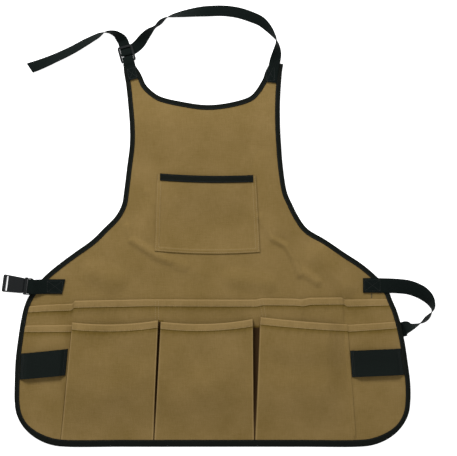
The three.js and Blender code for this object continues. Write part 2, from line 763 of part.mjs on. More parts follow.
// Left shoulder webbing: sewn on the shoulder, round the lower bar and back underneath
{
  const sewn = -shoulderSewnReach;
  const shoulderEnd = -ladderAbove / Math.cos(ladderAngle);
  const places = [
    ladderPlace(sewn, onBinding + webbingThickness / 2),
    ladderPlace(lerp(sewn, shoulderEnd, 0.6), onBinding + webbingThickness / 2),
    ladderPlace(shoulderEnd - 3, onBinding + webbingThickness / 2),
    ladderPlace(lowerBar - 3, overBar),
    ...barTurn(lowerBar, 1, ladderPlace).reverse(),
    ladderPlace(lowerBar - 1.4, underBar),
  ];
  add('shoulder_webbing_left', ribbon(places, places.map(() => ladderU), neckWebbingWidth, webbingThickness),
    colours.webbing, 0.8);
}

// Tail of the neck strap: over the middle bar, under the top bar and away to its free end.
// Out and up are shares of tailReach from where it leaves the ladder lock.
const tailRoute = [
  { out: 0.023, up: 0.064, twist: 8 },
  { out: 0.073, up: 0.119, twist: 52 },
  { out: 0.135, up: 0.145, twist: 74 },
  { out: 0.197, up: 0.147, twist: 92 },
  { out: 0.27, up: 0.113, twist: 122 },
  { out: 0.415, up: 0.036, twist: 138 },
  { out: 0.539, up: -0.034, twist: 143 },
  { out: 0.737, up: -0.127, twist: 150 },
  { out: 0.871, up: -0.181, twist: 166 },
  { out: 1.0, up: -0.225, twist: 180 },
];
{
  const exit = ladderPlace(topBar, 0);
  const threaded = [
    ladderPlace(2.5, underBar),
    ...barTurn(0, -1, ladderPlace),
    ladderPlace(barWidth / 2, overBar - 0.2),
    ladderPlace(barWidth / 2 + 0.5 * slotLength, lerp(overBar, underBar, 0.55)),
    ladderPlace(topBar - barWidth / 2 - 0.8, underBar + 0.05),
    ladderPlace(topBar + barWidth / 2, underBar),
  ];
  const away = tailRoute.map((row) => ({
    x: exit.x - row.out * tailReach,
    y: exit.y + row.up * tailReach,
    twist: THREE.MathUtils.degToRad(row.twist),
  }));
  const path = new THREE.CatmullRomCurve3([
    ladderPlace(topBar + barWidth / 2, 0),
    ...away.map((row) => new THREE.Vector3(row.x, row.y, 0)),
  ], false, 'centripetal');
  const turns = [{ on: 0, twist: 0 }, ...away.map((row) => ({ on: 0, twist: row.twist }))];
  const places = [...threaded];
  const widths = threaded.map(() => ladderU);
  const count = away.length * 3;
  for (let k = 1; k <= count; k += 1) {
    const point = path.getPoint(k / count);
    const tangent = path.getTangent(k / count);
    const { twist } = rowBetween(turns, k / count);
    const reach = Math.abs(Math.sin(twist)) * neckWebbingWidth / 2 + Math.abs(Math.cos(twist)) * webbingThickness / 2;
    const settled = smooth(k / (0.15 * count));
    places.push(new THREE.Vector3(point.x, point.y, lerp(underBar, reach, settled)));
    widths.push(new THREE.Vector3(tangent.y, -tangent.x, 0).multiplyScalar(Math.cos(twist))
      .add(new THREE.Vector3(0, 0, Math.sin(twist))));
  }
  add('neck_strap_tail', ribbon(places, widths, neckWebbingWidth, webbingThickness), colours.webbing, 0.8);
}

// Booleans on closed geometries
function toManifold(geometry) {
  const bare = geometry.index ? geometry.toNonIndexed() : geometry.clone();
  bare.deleteAttribute('normal');
  bare.deleteAttribute('uv');
  const merged = mergeVertices(bare, 1e-4);
  return new wasm.Manifold(new wasm.Mesh({
    numProp: 3,
    vertProperties: new Float32Array(merged.attributes.position.array),
    triVerts: new Uint32Array(merged.index.array),
  }));
}

function fromManifold(shape) {
  const mesh = shape.getMesh();
  return solid(Array.from(mesh.vertProperties), Array.from(mesh.triVerts));
}

function block(x0, x1, y0, y1, z0, z1) {
  const box = new THREE.BoxGeometry(x1 - x0, y1 - y0, z1 - z0);
  box.translate((x0 + x1) / 2, (y0 + y1) / 2, (z0 + z1) / 2);
  return toManifold(box);
}

// A plate from an outline of corners with a rounding, extruded from z0 to z1.
function plate(corners, rounding, z0, z1, bevel) {
  const shape = new THREE.Shape();
  corners.forEach(([x, y], k) => {
    const corner = new THREE.Vector2(x, y);
    const before = new THREE.Vector2(...corners[(k + corners.length - 1) % corners.length]);
    const after = new THREE.Vector2(...corners[(k + 1) % corners.length]);
    const start = corner.clone().add(before.sub(corner).setLength(rounding));
    const end = corner.clone().add(after.sub(corner).setLength(rounding));
    if (k === 0) shape.moveTo(start.x, start.y);
    else shape.lineTo(start.x, start.y);
    shape.quadraticCurveTo(x, y, end.x, end.y);
  });
  shape.closePath();
  const geometry = new THREE.ExtrudeGeometry(shape, {
    depth: z1 - z0 - 2 * bevel, bevelEnabled: bevel > 0, bevelSize: bevel, bevelThickness: bevel,
    bevelOffset: -bevel, bevelSegments: 1, curveSegments: 3,
  });
  geometry.translate(0, 0, z0 + bevel);
  return toManifold(geometry);
}

// Ladder lock: two rails, three bars and two slots
{
  const halfLength = ladderLength / 2;
  const railBottom = webbingThickness + layerGap;
  const railTop = railBottom + ladderHeight;
  let shape = plate([
    [-railOuter, -halfLength], [railOuter, -halfLength], [railOuter, halfLength], [-railOuter, halfLength],
  ], 4, railBottom, railTop, 0.6);
  const slots = [[lowerBar + barWidth / 2, -barWidth / 2], [barWidth / 2, topBar - barWidth / 2]];
  for (const [from, to] of slots) {
    shape = shape.subtract(block(-railInner, railInner, from, to, railBottom - 1, railTop + 1));
  }
  shape = shape.subtract(block(-railInner, railInner, -halfLength - 1, halfLength + 1, railBottom - 1, barBottom));
  shape = shape.subtract(block(-railInner, railInner, -halfLength - 1, barWidth, barTop, railTop + 1));
  const mesh = add('ladder_lock', fromManifold(shape), colours.plastic, 0.45);
  mesh.position.set(ladderCentre.x, ladderCentre.y, 0);
  mesh.rotation.z = ladderAngle;
}

// The left edge where the waist webbing crosses it, and the buckle's own axes from its bar
const leftWaist = edge.at(edge.shareAtHeight(waistHeight, false));
const plugEdge = edge.at(edge.shareAtHeight(waistHeight - buckleWidth / 2, false));
const leanAngle = THREE.MathUtils.degToRad(buckleLean);
const barCentre = new THREE.Vector3(
  plugEdge.x - barWidth / 2 - 1.5 + buckleOverEdge, waistHeight, onBinding + 3.5 * Math.tan(leanAngle),
);
const buckleAngle = THREE.MathUtils.degToRad(180 - buckleTilt);
const buckleTurn = new THREE.Matrix4().makeRotationZ(buckleAngle)
  .multiply(new THREE.Matrix4().makeRotationY(leanAngle));
const waistPlace = (out, z) => new THREE.Vector3(out, 0, z).applyMatrix4(buckleTurn).add(barCentre);

// Left waist webbing: sewn on the skirt with a slanted end, round the buckle's bar and back
{
  const sewnEnd = leftWaist.x + waistSewnLength;
  const places = [
    new THREE.Vector3(sewnEnd, waistHeight, onBinding + webbingThickness / 2),
    new THREE.Vector3(lerp(sewnEnd, leftWaist.x, 0.35), waistHeight, onBinding + webbingThickness / 2),
    new THREE.Vector3(lerp(sewnEnd, leftWaist.x, 0.7), waistHeight, onBinding + webbingThickness / 2),
    waistPlace(-3.6, overBar),
    waistPlace(-1.5, overBar),
    ...barTurn(0, 1, waistPlace).reverse(),
    waistPlace(-1.6, underBar),
  ];
  const straight = new THREE.Vector3(0, 1, 0);
  const tilted = new THREE.Vector3(Math.sin(buckleAngle), -Math.cos(buckleAngle), 0);
  const widths = places.map((place, k) => (k < 3 ? straight : tilted));
  add('waist_webbing_left', ribbon(places, widths, waistWebbingWidth, webbingThickness), colours.webbing, 0.8);
}

// Side release buckle. Along is measured from the bar towards the free end.
const jointAlong = plugLength - barWidth / 2 - 1.2;
const buckleBottom = 0;
const buckleTop = buckleBottom + buckleThickness;
const slotHalf = waistWebbingWidth / 2 + 0.6;
const cavityHalf = socketJointWidth / 2 - socketWall;
const cavityDepth = 25;
const cavityBottom = buckleBottom + socketWall;
const cavityTop = buckleTop - socketWall;
const prongHead = { from: 15, to: 21.5 };

function placeOnBar(mesh) {
  mesh.position.copy(barCentre);
  mesh.quaternion.setFromRotationMatrix(buckleTurn);
}

// Plug half: a frame with the webbing's bar, two sprung prongs and a middle guide
{
  const start = jointAlong - plugLength;
  let shape = plate([
    [start, -buckleWidth / 2 + 1], [jointAlong, -buckleWidth / 2],
    [jointAlong, buckleWidth / 2], [start, buckleWidth / 2 - 1],
  ], 2.5, buckleBottom, buckleTop, 0.8);
  shape = shape.subtract(block(barWidth / 2, barWidth / 2 + 4.8, -slotHalf, slotHalf, -1, buckleTop + 1));
  shape = shape.subtract(block(start - 1, barWidth, -slotHalf, slotHalf, -1, barBottom));
  shape = shape.subtract(block(start - 1, barWidth, -slotHalf, slotHalf, barTop, buckleTop + 1));
  const low = cavityBottom + layerGap;
  const high = cavityTop - layerGap;
  for (const side of [-1, 1]) {
    const inner = cavityHalf - 4;
    const outer = cavityHalf - layerGap;
    const y = [side * inner, side * outer].sort((a, b) => a - b);
    shape = shape.add(block(jointAlong - 1, jointAlong + prongHead.to, y[0], y[1], low, high));
    const head = [side * outer - side, side * (outer + 1.3)].sort((a, b) => a - b);
    shape = shape.add(block(jointAlong + prongHead.from, jointAlong + prongHead.to, head[0], head[1], low, high));
  }
  shape = shape.add(block(jointAlong - 1, jointAlong + 18, -2, 2, low, high));
  placeOnBar(add('buckle_plug', fromManifold(shape), colours.plastic, 0.45));
}

// Socket half: a hollow body with a window at each side and the slot for the other strap
{
  const start = jointAlong + layerGap;
  const end = start + socketLength;
  let shape = plate([
    [start, -socketJointWidth / 2], [end, -buckleWidth / 2], [end, buckleWidth / 2], [start, socketJointWidth / 2],
  ], 3, buckleBottom, buckleTop, 0.9);
  shape = shape.subtract(block(start - 1, start + cavityDepth, -cavityHalf, cavityHalf, cavityBottom, cavityTop));
  for (const side of [-1, 1]) {
    const y = [side * (cavityHalf - 0.5), side * buckleWidth].sort((a, b) => a - b);
    shape = shape.subtract(block(
      jointAlong + prongHead.from - 1.2, jointAlong + prongHead.to + 1.2, y[0], y[1], cavityBottom, cavityTop,
    ));
  }
  shape = shape.subtract(block(end - 9, end - 5.4, -slotHalf + 0.5, slotHalf - 0.5, -1, buckleTop + 1));
  placeOnBar(add('buckle_socket', fromManifold(shape), colours.plastic, 0.45));
}

// Right waist strap: sewn on the skirt, out in a loop, on its edge twice and back under the skirt.
// Out is a share of waistLoopReach from the sewn end's edge crossing, up a share of the same.
const waistRoute = [
  { out: -0.42, up: 0, on: 1, twist: 0 },
  { out: -0.15, up: 0, on: 1, twist: 0 },
  { out: 0.07, up: -0.005, on: 1, twist: 0 },
  { out: 0.24, up: -0.015, on: 0.3, twist: 5 },
  { out: 0.42, up: -0.04, on: 0, twist: 12 },
  { out: 0.64, up: -0.13, on: 0, twist: 24 },
  { out: 0.775, up: -0.25, on: 0, twist: 52 },
  { out: 0.83, up: -0.385, on: 0, twist: 78 },
  { out: 0.826, up: -0.445, on: 0, twist: 90 },
  { out: 0.765, up: -0.545, on: 0, twist: 104 },
  { out: 0.69, up: -0.62, on: 0, twist: 104 },
  { out: 0.595, up: -0.682, on: 0, twist: 90 },
  { out: 0.51, up: -0.722, on: 0, twist: 64 },
  { out: 0.425, up: -0.755, on: 0, twist: 30 },
  { out: 0.35, up: -0.775, on: 0, twist: 6 },
];
{
  const crossing = edge.at(edge.shareAtHeight(waistHeight, true));
  const route = waistRoute.map((row) => ({
    x: crossing.x + row.out * waistLoopReach,
    y: waistHeight + 2 + row.up * waistLoopReach,
    on: row.on * onBinding,
    twist: row.twist,
  }));
  route.push(
    { x: hiddenRunEdge.x + 2, y: hiddenRunHeight - 0.6, on: 0, twist: 0 },
    { x: lerp(hiddenRunEdge.x, hiddenRunEnd.x, 0.3), y: lerp(hiddenRunHeight, hiddenRunEnd.y, 0.3), on: 0, twist: 0 },
    { x: hiddenRunEnd.x, y: hiddenRunEnd.y, on: 0, twist: 0 },
  );
  add('waist_strap_right', laidStrap(route, waistWebbingWidth, 3), colours.webbing, 0.8);
}

// The whole model over the origin: the middle of its box at X = Y = 0 and its lowest face at Z = 0
const box = new THREE.Box3().setFromObject(group);
group.position.set(-(box.min.x + box.max.x) / 2, -(box.min.y + box.max.y) / 2, -box.min.z);

export default group;
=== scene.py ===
"""A gardening apron of olive canvas, laid flat on a white table and seen from straight above.

The cloth, tapes and webbing are made here at a finer step than the CAD solids, inside the
same outlines, with their hems, stitches and soft creases. Lengths are in metres, and the
row frame has +X to the side of the free waist strap, +Y towards the neck and +Z up.
"""

from __future__ import annotations

import logging
import math
from collections.abc import Callable, Sequence
from dataclasses import dataclass, field
from enum import Enum

import bpy
import numpy as np
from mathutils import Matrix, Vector

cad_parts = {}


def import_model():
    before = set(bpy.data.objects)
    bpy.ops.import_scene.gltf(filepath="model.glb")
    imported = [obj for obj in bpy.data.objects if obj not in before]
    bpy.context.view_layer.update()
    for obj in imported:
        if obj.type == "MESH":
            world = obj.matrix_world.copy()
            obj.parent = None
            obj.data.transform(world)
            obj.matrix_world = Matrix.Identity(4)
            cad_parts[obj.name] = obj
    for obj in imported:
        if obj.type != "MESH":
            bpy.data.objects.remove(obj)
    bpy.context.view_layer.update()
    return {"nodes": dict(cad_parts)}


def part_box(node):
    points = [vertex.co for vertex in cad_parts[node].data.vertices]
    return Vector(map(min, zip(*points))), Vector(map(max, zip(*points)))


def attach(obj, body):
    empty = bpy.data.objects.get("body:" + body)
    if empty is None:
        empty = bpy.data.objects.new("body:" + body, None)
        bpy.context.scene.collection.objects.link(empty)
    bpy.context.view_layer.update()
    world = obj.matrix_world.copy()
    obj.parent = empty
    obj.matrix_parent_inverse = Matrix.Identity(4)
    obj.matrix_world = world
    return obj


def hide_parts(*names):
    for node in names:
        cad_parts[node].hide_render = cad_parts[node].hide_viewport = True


log = logging.getLogger("apron")

MM = 0.001
UPWARD = np.array((0.0, 0.0, 1.0))
Line = Callable[[np.ndarray], np.ndarray]
Relief = Callable[[np.ndarray, np.ndarray], np.ndarray]

# Cloth, tape and webbing
CANVAS = 1.1 * MM
GAP = 0.35 * MM
TAPE = 0.8 * MM
LEG = 8.5 * MM
HEM_LEG = 12 * MM
EDGE_INSET = TAPE + 1.6 * MM
WEBBING = 1.2 * MM
NECK_WIDTH = 18.5 * MM
WAIST_WIDTH = 25 * MM
LAYER_STEP = CANVAS + GAP
PANEL_BOTTOM = TAPE + GAP
PANEL_TOP = PANEL_BOTTOM + CANVAS
UPPER_TOP = PANEL_TOP + LAYER_STEP
FRONT_TOP = UPPER_TOP + LAYER_STEP
BINDING_TOP = 2 * PANEL_BOTTOM + CANVAS
ON_BINDING = BINDING_TOP + GAP

# Sewing
HEM_BAND = 12.5 * MM
HEM_STITCH = 11.2 * MM
PUCKERED = HEM_STITCH + 4 * MM
HEM_FINE = 16 * MM
SEAM_GAP = 0.8 * MM
SEAM_LAP = 1.2 * MM
POCKET_PLEAT = 11 * MM
BAR_TACK_PITCH = 1.7 * MM
CUT_FROM = 24 * MM
WAIST_HEIGHT = 272 * MM
HIDDEN_RUN = 180 * MM

# Side edges, from the shoulder down: height, then left and right as shares of half the skirt.
EDGE_ROWS = np.array([
    (1.0, -0.451, 0.358), (0.979, -0.448, 0.352), (0.948, -0.438, 0.347),
    (0.901, -0.428, 0.342), (0.838, -0.418, 0.342), (0.791, -0.418, 0.347),
    (0.728, -0.433, 0.357), (0.665, -0.448, 0.377), (0.634, -0.458, 0.403),
    (0.603, -0.489, 0.433), (0.571, -0.549, 0.478), (0.54, -0.61, 0.575),
    (0.508, -0.696, 0.666), (0.477, -0.777, 0.757), (0.446, -0.848, 0.828),
    (0.414, -0.901, 0.884), (0.383, -0.939, 0.909), (0.352, -0.959, 0.934),
    (0.289, -0.98, 0.965), (0.226, -0.995, 0.985), (0.163, -1.0, 1.0),
])

# The neckline, from the shoulder ends down, in the same shares, and its lowest place.
NECK_ROWS = np.array([
    (1.0, -0.395, 0.287), (0.979, -0.367, 0.266), (0.963, -0.352, 0.256),
    (0.948, -0.339, 0.24), (0.932, -0.311, 0.22), (0.916, -0.266, 0.19),
    (0.901, -0.149, 0.104),
])
NECK_LOWEST = (0.893, -0.022)

# The mouth of the wide upper pocket: shares of half the skirt and of its height.
UPPER_MOUTH = np.array([
    (-1.0, 0.955), (-0.706, 0.972), (-0.694, 0.992), (-0.33, 1.002), (0.04, 1.0),
    (0.22, 1.0), (0.25, 1.009), (0.41, 1.007), (0.45, 1.002), (0.49, 1.013), (0.652, 1.015),
    (0.668, 1.0), (1.0, 1.007),
])
UPPER_SEAMS = (-0.88, -0.28, 0.245, 0.85)

# Soft folds: ends as shares of half the skirt and of the height, then height and spread.
FOLDS = (
    (-0.43, 0.575, -0.407, 0.54, 2.3, 10.0),
    (-0.407, 0.54, -0.29, 0.5, 3.5, 11.0),
    (-0.29, 0.5, -0.21, 0.484, 3.0, 13.0),
    (-0.21, 0.484, -0.14, 0.47, 2.0, 16.0),
    (-0.14, 0.47, -0.06, 0.455, 0.8, 20.0),
    (-0.336, 0.668, -0.301, 0.653, 1.0, 8.0),
    (0.24, 0.6, 0.29, 0.555, 2.1, 10.0),
    (0.301, 0.545, 0.372, 0.525, 3.2, 9.0),
    (0.372, 0.525, 0.412, 0.49, 3.6, 9.0),
    (0.412, 0.49, 0.443, 0.45, 3.3, 10.0),
    (0.46, 0.455, 0.53, 0.43, 2.7, 12.0),
    (0.544, 0.501, 0.67, 0.42, 4.0, 30.0),
    (-0.6, 0.455, -0.5, 0.435, 3.0, 30.0),
    (0.1, 0.44, 0.28, 0.425, 2.2, 24.0),
    (-0.34, 0.845, 0.24, 0.835, 3.6, 80.0),
    (0.26, 0.76, 0.33, 0.57, 2.4, 30.0),
    (-0.3, 0.63, -0.34, 0.56, 1.6, 26.0),
)


def smooth(t: np.ndarray | float) -> np.ndarray:
    """An even step from 0 to 1, held outside that span."""
    c = np.clip(t, 0.0, 1.0)
    return c * c * (3 - 2 * c)


def plateau(t: np.ndarray, ease: float) -> np.ndarray:
    """Level at 1 in the middle of a share, and down to nothing over the ease at each end."""
    return smooth(t / ease) * smooth((1 - t) / ease)


def ridge(distance: np.ndarray, spread: float) -> np.ndarray:
    """A round ridge of height 1 over a distance, about as wide as spread each way."""
    return np.exp(-((distance / spread) ** 2))


def segment_distance(place: np.ndarray, a: Sequence[float], b: Sequence[float]) -> np.ndarray:
    """How far places are from a straight line.

    Args:
        place: places in the plane.
        a: one end of the line.
        b: its other end.

    Returns:
        Distances.
    """
    start, run = np.asarray(a, float), np.asarray(b, float) - np.asarray(a, float)
    t = np.clip(((place - start) @ run) / (run @ run), 0.0, 1.0)
    return np.linalg.norm(place - start - t[..., None] * run, axis=-1)


def ripple(place: np.ndarray, length: float, seed: int, waves: int = 9) -> np.ndarray:
    """Unevenness without a direction: a sum of plane waves of random ways and phases.

    Args:
        place: places in the plane.
        length: the usual length of a wave.
        seed: the random seed.
        waves: how many are summed.

    Returns:
        Values from about -1 to 1.
    """
    rng = np.random.default_rng(seed)
    total = np.zeros(place.shape[:-1])
    for angle, stretch, phase in rng.uniform((0, 0.6, 0), (math.pi, 1.7, math.tau), (waves, 3)):
        way = np.array((math.cos(angle), math.sin(angle))) * math.tau / (length * stretch)
        total += np.sin(place @ way + phase)
    return total / waves * 1.8


def centripetal(points: Sequence[Sequence[float]], steps: int) -> np.ndarray:
    """The centripetal Catmull-Rom curve: cubic spans, whose ends take their slopes from the
    neighbouring points over the square roots of their distances.

    Args:
        points: the points that it goes through.
        steps: places to each span.

    Returns:
        Places along the curve.
    """
    p = np.asarray(points, float)
    p = np.vstack([2 * p[0] - p[1], p, 2 * p[-1] - p[-2]])
    gap = np.sqrt(np.linalg.norm(np.diff(p, axis=0), axis=1))[:, None]
    d0, d1, d2 = gap[:-2], gap[1:-1], gap[2:]
    a, b, c, d = p[:-3], p[1:-2], p[2:-1], p[3:]
    out = ((b - a) / d0 - (c - a) / (d0 + d1) + (c - b) / d1) * d1
    into = ((c - b) / d1 - (d - b) / (d1 + d2) + (d - c) / d2) * d1
    t = (np.arange(steps) / steps)[None, :, None]
    b, c, out, into = (x[:, None, :] for x in (b, c, out, into))
    body = b + out * t + (3 * (c - b) - 2 * out - into) * t**2 + (2 * (b - c) + out + into) * t**3
    return np.vstack([body.reshape(-1, p.shape[1]), p[-2]])


def directions(places: np.ndarray) -> np.ndarray:
    """Unit directions along a row of places."""
    way = np.gradient(places, axis=0)
    return way / np.linalg.norm(way, axis=1)[:, None]


def through(shares: np.ndarray, places: np.ndarray) -> Line:
    """The line through places that are known at some shares."""
    return lambda t: np.stack([np.interp(t, shares, places[:, k]) for k in (0, 1)], axis=-1)


class Edge:
    """A smooth curve in the plane, known by the share of its length, with an inner side."""

    def __init__(self, points: Sequence[Sequence[float]], side: int) -> None:
        """Runs the curve through the points.

        Args:
            points: places in the plane.
            side: 1 where the inner side is to the left of its way, -1 to the right.
        """
        self.points = centripetal(points, 60)
        steps = np.linalg.norm(np.diff(self.points, axis=0), axis=1)
        along = np.concatenate([[0.0], np.cumsum(steps)])
        self.length = float(along[-1])
        self.along = along / self.length
        tangent = np.gradient(self.points, along, axis=0)
        tangent /= np.linalg.norm(tangent, axis=1)[:, None]
        self.inner = np.column_stack([-tangent[:, 1], tangent[:, 0]]) * side

    def _between(self, values: np.ndarray, share: np.ndarray | float) -> np.ndarray:
        """Values of the curve's points at shares of its length."""
        share = np.asarray(share, float)
        return np.stack([np.interp(share, self.along, values[:, k]) for k in (0, 1)], axis=-1)

    def inward(self, share: np.ndarray | float) -> np.ndarray:
        """The direction to the inner side."""
        way = self._between(self.inner, share)
        return way / np.linalg.norm(way, axis=-1, keepdims=True)

    def at(self, share: np.ndarray | float, inset: np.ndarray | float = 0.0) -> np.ndarray:
        """The place at a share of the length, moved in from the edge."""
        return self._between(self.points, share) + self.inward(share) * np.asarray(inset)[..., None]

    def near(self, x: float, y: float) -> float:
        """The share of the curve's place nearest to a point."""
        return float(self.along[np.linalg.norm(self.points - (x, y), axis=1).argmin()])

    def at_height(self, y: float, right: bool) -> float:
        """Where a side of the edge is at a height.

        Args:
            y: the height.
            right: whether it is the right side.

        Returns:
            A share of the length.
        """
        half = len(self.points) // 2
        part = slice(half, None) if right else slice(0, half)
        heights, along = self.points[part, 1], self.along[part]
        order = np.argsort(heights)
        return float(np.interp(y, heights[order], along[order]))

    def inset_line(self, start: float, end: float) -> Line:
        """The line just inside the tape's fold, between two shares."""
        return lambda t: self.at(start + (end - start) * t, EDGE_INSET)


def straight(a: Sequence[float], b: Sequence[float], sag: float = 0.0) -> Line:
    """A straight or evenly sagging line.

    Args:
        a: its first end.
        b: its last end.
        sag: how far its middle hangs below the straight line.

    Returns:
        The line, from shares of 0 to 1.
    """
    first, last = np.asarray(a, float), np.asarray(b, float)

    def line(t: np.ndarray) -> np.ndarray:
        """A parabola added to the straight line.

        Args:
            t: shares of the way.

        Returns:
            Points.
        """
        place = first + (last - first) * t[..., None]
        place[..., 1] -= 4 * t * (1 - t) * sag
        return place

    return line


@dataclass(frozen=True)
class Patch:
    """A surface between four boundary lines, each from a share of 0 to 1."""

    left: Line
    right: Line
    bottom: Line
    top: Line

    def at(self, u: np.ndarray, v: np.ndarray) -> np.ndarray:
        """A Coons patch: the sides' blend plus the ends' blend, less the four corners' blend.

        Args:
            u: shares across.
            v: shares up.

        Returns:
            Places in the plane.
        """
        u, v = np.broadcast_arrays(np.asarray(u, float), np.asarray(v, float))
        a, b = u[..., None], v[..., None]
        nought, one = np.zeros(1), np.ones(1)
        sides = self.left(v) * (1 - a) + self.right(v) * a
        ends = self.bottom(u) * (1 - b) + self.top(u) * b
        low = self.bottom(nought) * (1 - a) + self.bottom(one) * a
        high = self.top(nought) * (1 - a) + self.top(one) * a
        return sides + ends - low * (1 - b) - high * b


class Apron:
    """The apron's outline in the row frame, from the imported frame's boxes."""

    # The curve swells past its widest rows, and the shoulders rise past the top row.
    SWELL = 672.8 / 672
    RISE = 650.9 / 650
    DIP = 0.55 * MM

    def __init__(self) -> None:
        """Reads the sizes, and lays out the edge, the neckline and the sewn places."""
        low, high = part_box("edge_binding")
        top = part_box("body_panel")[1].y
        self.middle = (low.x + high.x) / 2
        self.hem = low.y + self.DIP
        self.floor = low.z
        self.half = (high.x - low.x) / self.SWELL / 2
        self.height = (top - low.y) / self.RISE
        unit = self.half / 336
        self.corner = (88 * unit, 76 * unit)
        self.edge = Edge(self._outer_points(), 1)
        self.left_corner = self._corner_share(-1)
        self.right_corner = self._corner_share(1)
        self.neck = Edge(self._neck_points(), -1)
        self.pocket_mouth = 213 / 650 * self.height
        self.upper_height = 250 / 650 * self.height
        waist = self.hem + WAIST_HEIGHT
        self.sewn = [
            *(self.edge.at(self.edge.at_height(waist, right), 25 * MM) for right in (False, True)),
            *(self.edge.at(share, 12 * MM) for share in (0.0, 1.0)),
        ]
        run = self.edge.at(self.edge.at_height(self.y(200 / 650), True))
        self.run_edge = run
        self.run_end = np.array((run[0] - HIDDEN_RUN, run[1] - 8 * MM))

    def x(self, share: np.ndarray | float) -> np.ndarray | float:
        """X at a share of half the skirt."""
        return self.middle + share * self.half

    def y(self, share: np.ndarray | float) -> np.ndarray | float:
        """Y at a share of the height."""
        return self.hem + share * self.height

    def place(self, across: float, up: float) -> np.ndarray:
        """The place at shares of half the skirt and of the height."""
        return np.array((self.x(across), self.y(up)))

    def _corner_points(self, side: int) -> list[tuple[float, float]]:
        """Points along a quarter of an ellipse, from the side down to the hem.

        Args:
            side: -1 for the left corner, 1 for the right one.

        Returns:
            The points.
        """
        turns = np.radians(np.arange(0, 91, 15))
        x = self.middle + side * (self.half - self.corner[0] * (1 - np.cos(turns)))
        y = self.hem + self.corner[1] * (1 - np.sin(turns))
        return list(zip(x, y))

    def _outer_points(self) -> list[tuple[float, float]]:
        """Points of the outer edge, from the left shoulder round the hem to the right one.

        Returns:
            The points.
        """
        left = [(self.x(a), self.y(up)) for up, a, _ in EDGE_ROWS]
        right = [(self.x(b), self.y(up)) for up, _, b in EDGE_ROWS]
        hem = [(self.x(share), self.hem) for share in (-0.45, -0.15, 0.15, 0.45)]
        return left + self._corner_points(-1) + hem + self._corner_points(1)[::-1] + right[::-1]

    def _neck_points(self) -> list[tuple[float, float]]:
        """Points of the neckline, from left to right.

        Returns:
            The points.
        """
        left = [(self.x(a), self.y(up)) for up, a, _ in NECK_ROWS]
        right = [(self.x(b), self.y(up)) for up, _, b in NECK_ROWS]
        lowest = (self.x(NECK_LOWEST[1]), self.y(NECK_LOWEST[0]))
        return [*left, lowest, *right[::-1]]

    def _corner_share(self, side: int) -> float:
        """The edge's share at the middle of a round corner.

        Args:
            side: -1 for the left corner, 1 for the right one.

        Returns:
            The share.
        """
        turn = 1 - math.cos(math.pi / 4)
        return self.edge.near(
            self.middle + side * (self.half - self.corner[0] * turn), self.hem + self.corner[1] * turn
        )

    def upper_mouth(self, x: np.ndarray) -> np.ndarray:
        """Y of the wide upper pocket's mouth."""
        share = np.interp((x - self.middle) / self.half, UPPER_MOUTH[:, 0], UPPER_MOUTH[:, 1])
        return self.hem + self.upper_height * share

    def lift(self, place: np.ndarray) -> np.ndarray:
        """How far the laid cloth is raised: by its soft folds, and by the strap under it.

        Args:
            place: places in the plane.

        Returns:
            Heights.
        """
        height = np.zeros(place.shape[:-1])
        for ax, ay, bx, by, rise, spread in FOLDS:
            far = segment_distance(place, self.place(ax, ay), self.place(bx, by))
            height = np.maximum(height, rise * MM * smooth(1 - far / (spread * MM)))
        over = segment_distance(place, self.run_edge + (WAIST_WIDTH, 0.0), self.run_end)
        flat = WAIST_WIDTH / 2 + 15 * MM
        return np.maximum(height, (WEBBING + GAP) * smooth(1 - (over - flat) / (34 * MM)))

    def ripples(self, place: np.ndarray) -> np.ndarray:
        """Slight unevenness that every layer shares, except where straps are sewn on.

        Args:
            place: places in the plane.

        Returns:
            Heights.
        """
        broad = 1 + np.tanh(1.6 * ripple(place, 150 * MM, 3))
        fine = 1 + np.tanh(1.6 * ripple(place, 48 * MM, 8))
        calm = np.ones(place.shape[:-1])
        for sewn in self.sewn:
            calm = np.minimum(calm, smooth(np.linalg.norm(place - sewn, axis=-1) / (50 * MM) - 0.8))
        return calm * (0.6 * MM * broad + 0.1 * MM * fine)


def hem_fold(below: np.ndarray) -> np.ndarray:
    """Extra thickness of a turned mouth: the folded layer, less the pull of the stitches and
    the rounding of the lip.

    Args:
        below: distances below the mouth.

    Returns:
        Thicknesses.
    """
    fold = CANVAS * smooth((HEM_BAND - below) / (1.2 * MM) + 0.5)
    groove = 0.4 * MM * ridge(below - HEM_STITCH, 0.9 * MM)
    lip = 0.6 * MM * smooth(1 - below / (1.5 * MM))
    return fold - groove - lip


def hem_painted_light(below: np.ndarray) -> np.ndarray:
    """Painted light on a turned mouth: the pressed band and its edges are painted paler, as lit, and the
    step under it is painted in shade.

    Args:
        below: distances below the mouth.

    Returns:
        Tones, paler above 0.
    """
    # Painted highlights: the raised band and its fold lines are paler, as they catch the light.
    band = 0.22 * smooth((HEM_BAND - below) / (1.2 * MM) + 0.5)
    past = below - HEM_BAND
    edges = 0.26 * ridge(below - 0.6 * MM, 1.5 * MM) + 0.26 * ridge(past + 1.4 * MM, 1.3 * MM)
    # Painted shade in the step under the band, and softly below it.
    step = 0.75 * ridge(past - 0.3 * MM, 0.9 * MM) + 0.35 * ridge(past - 2.5 * MM, 4 * MM)
    return band + edges - step


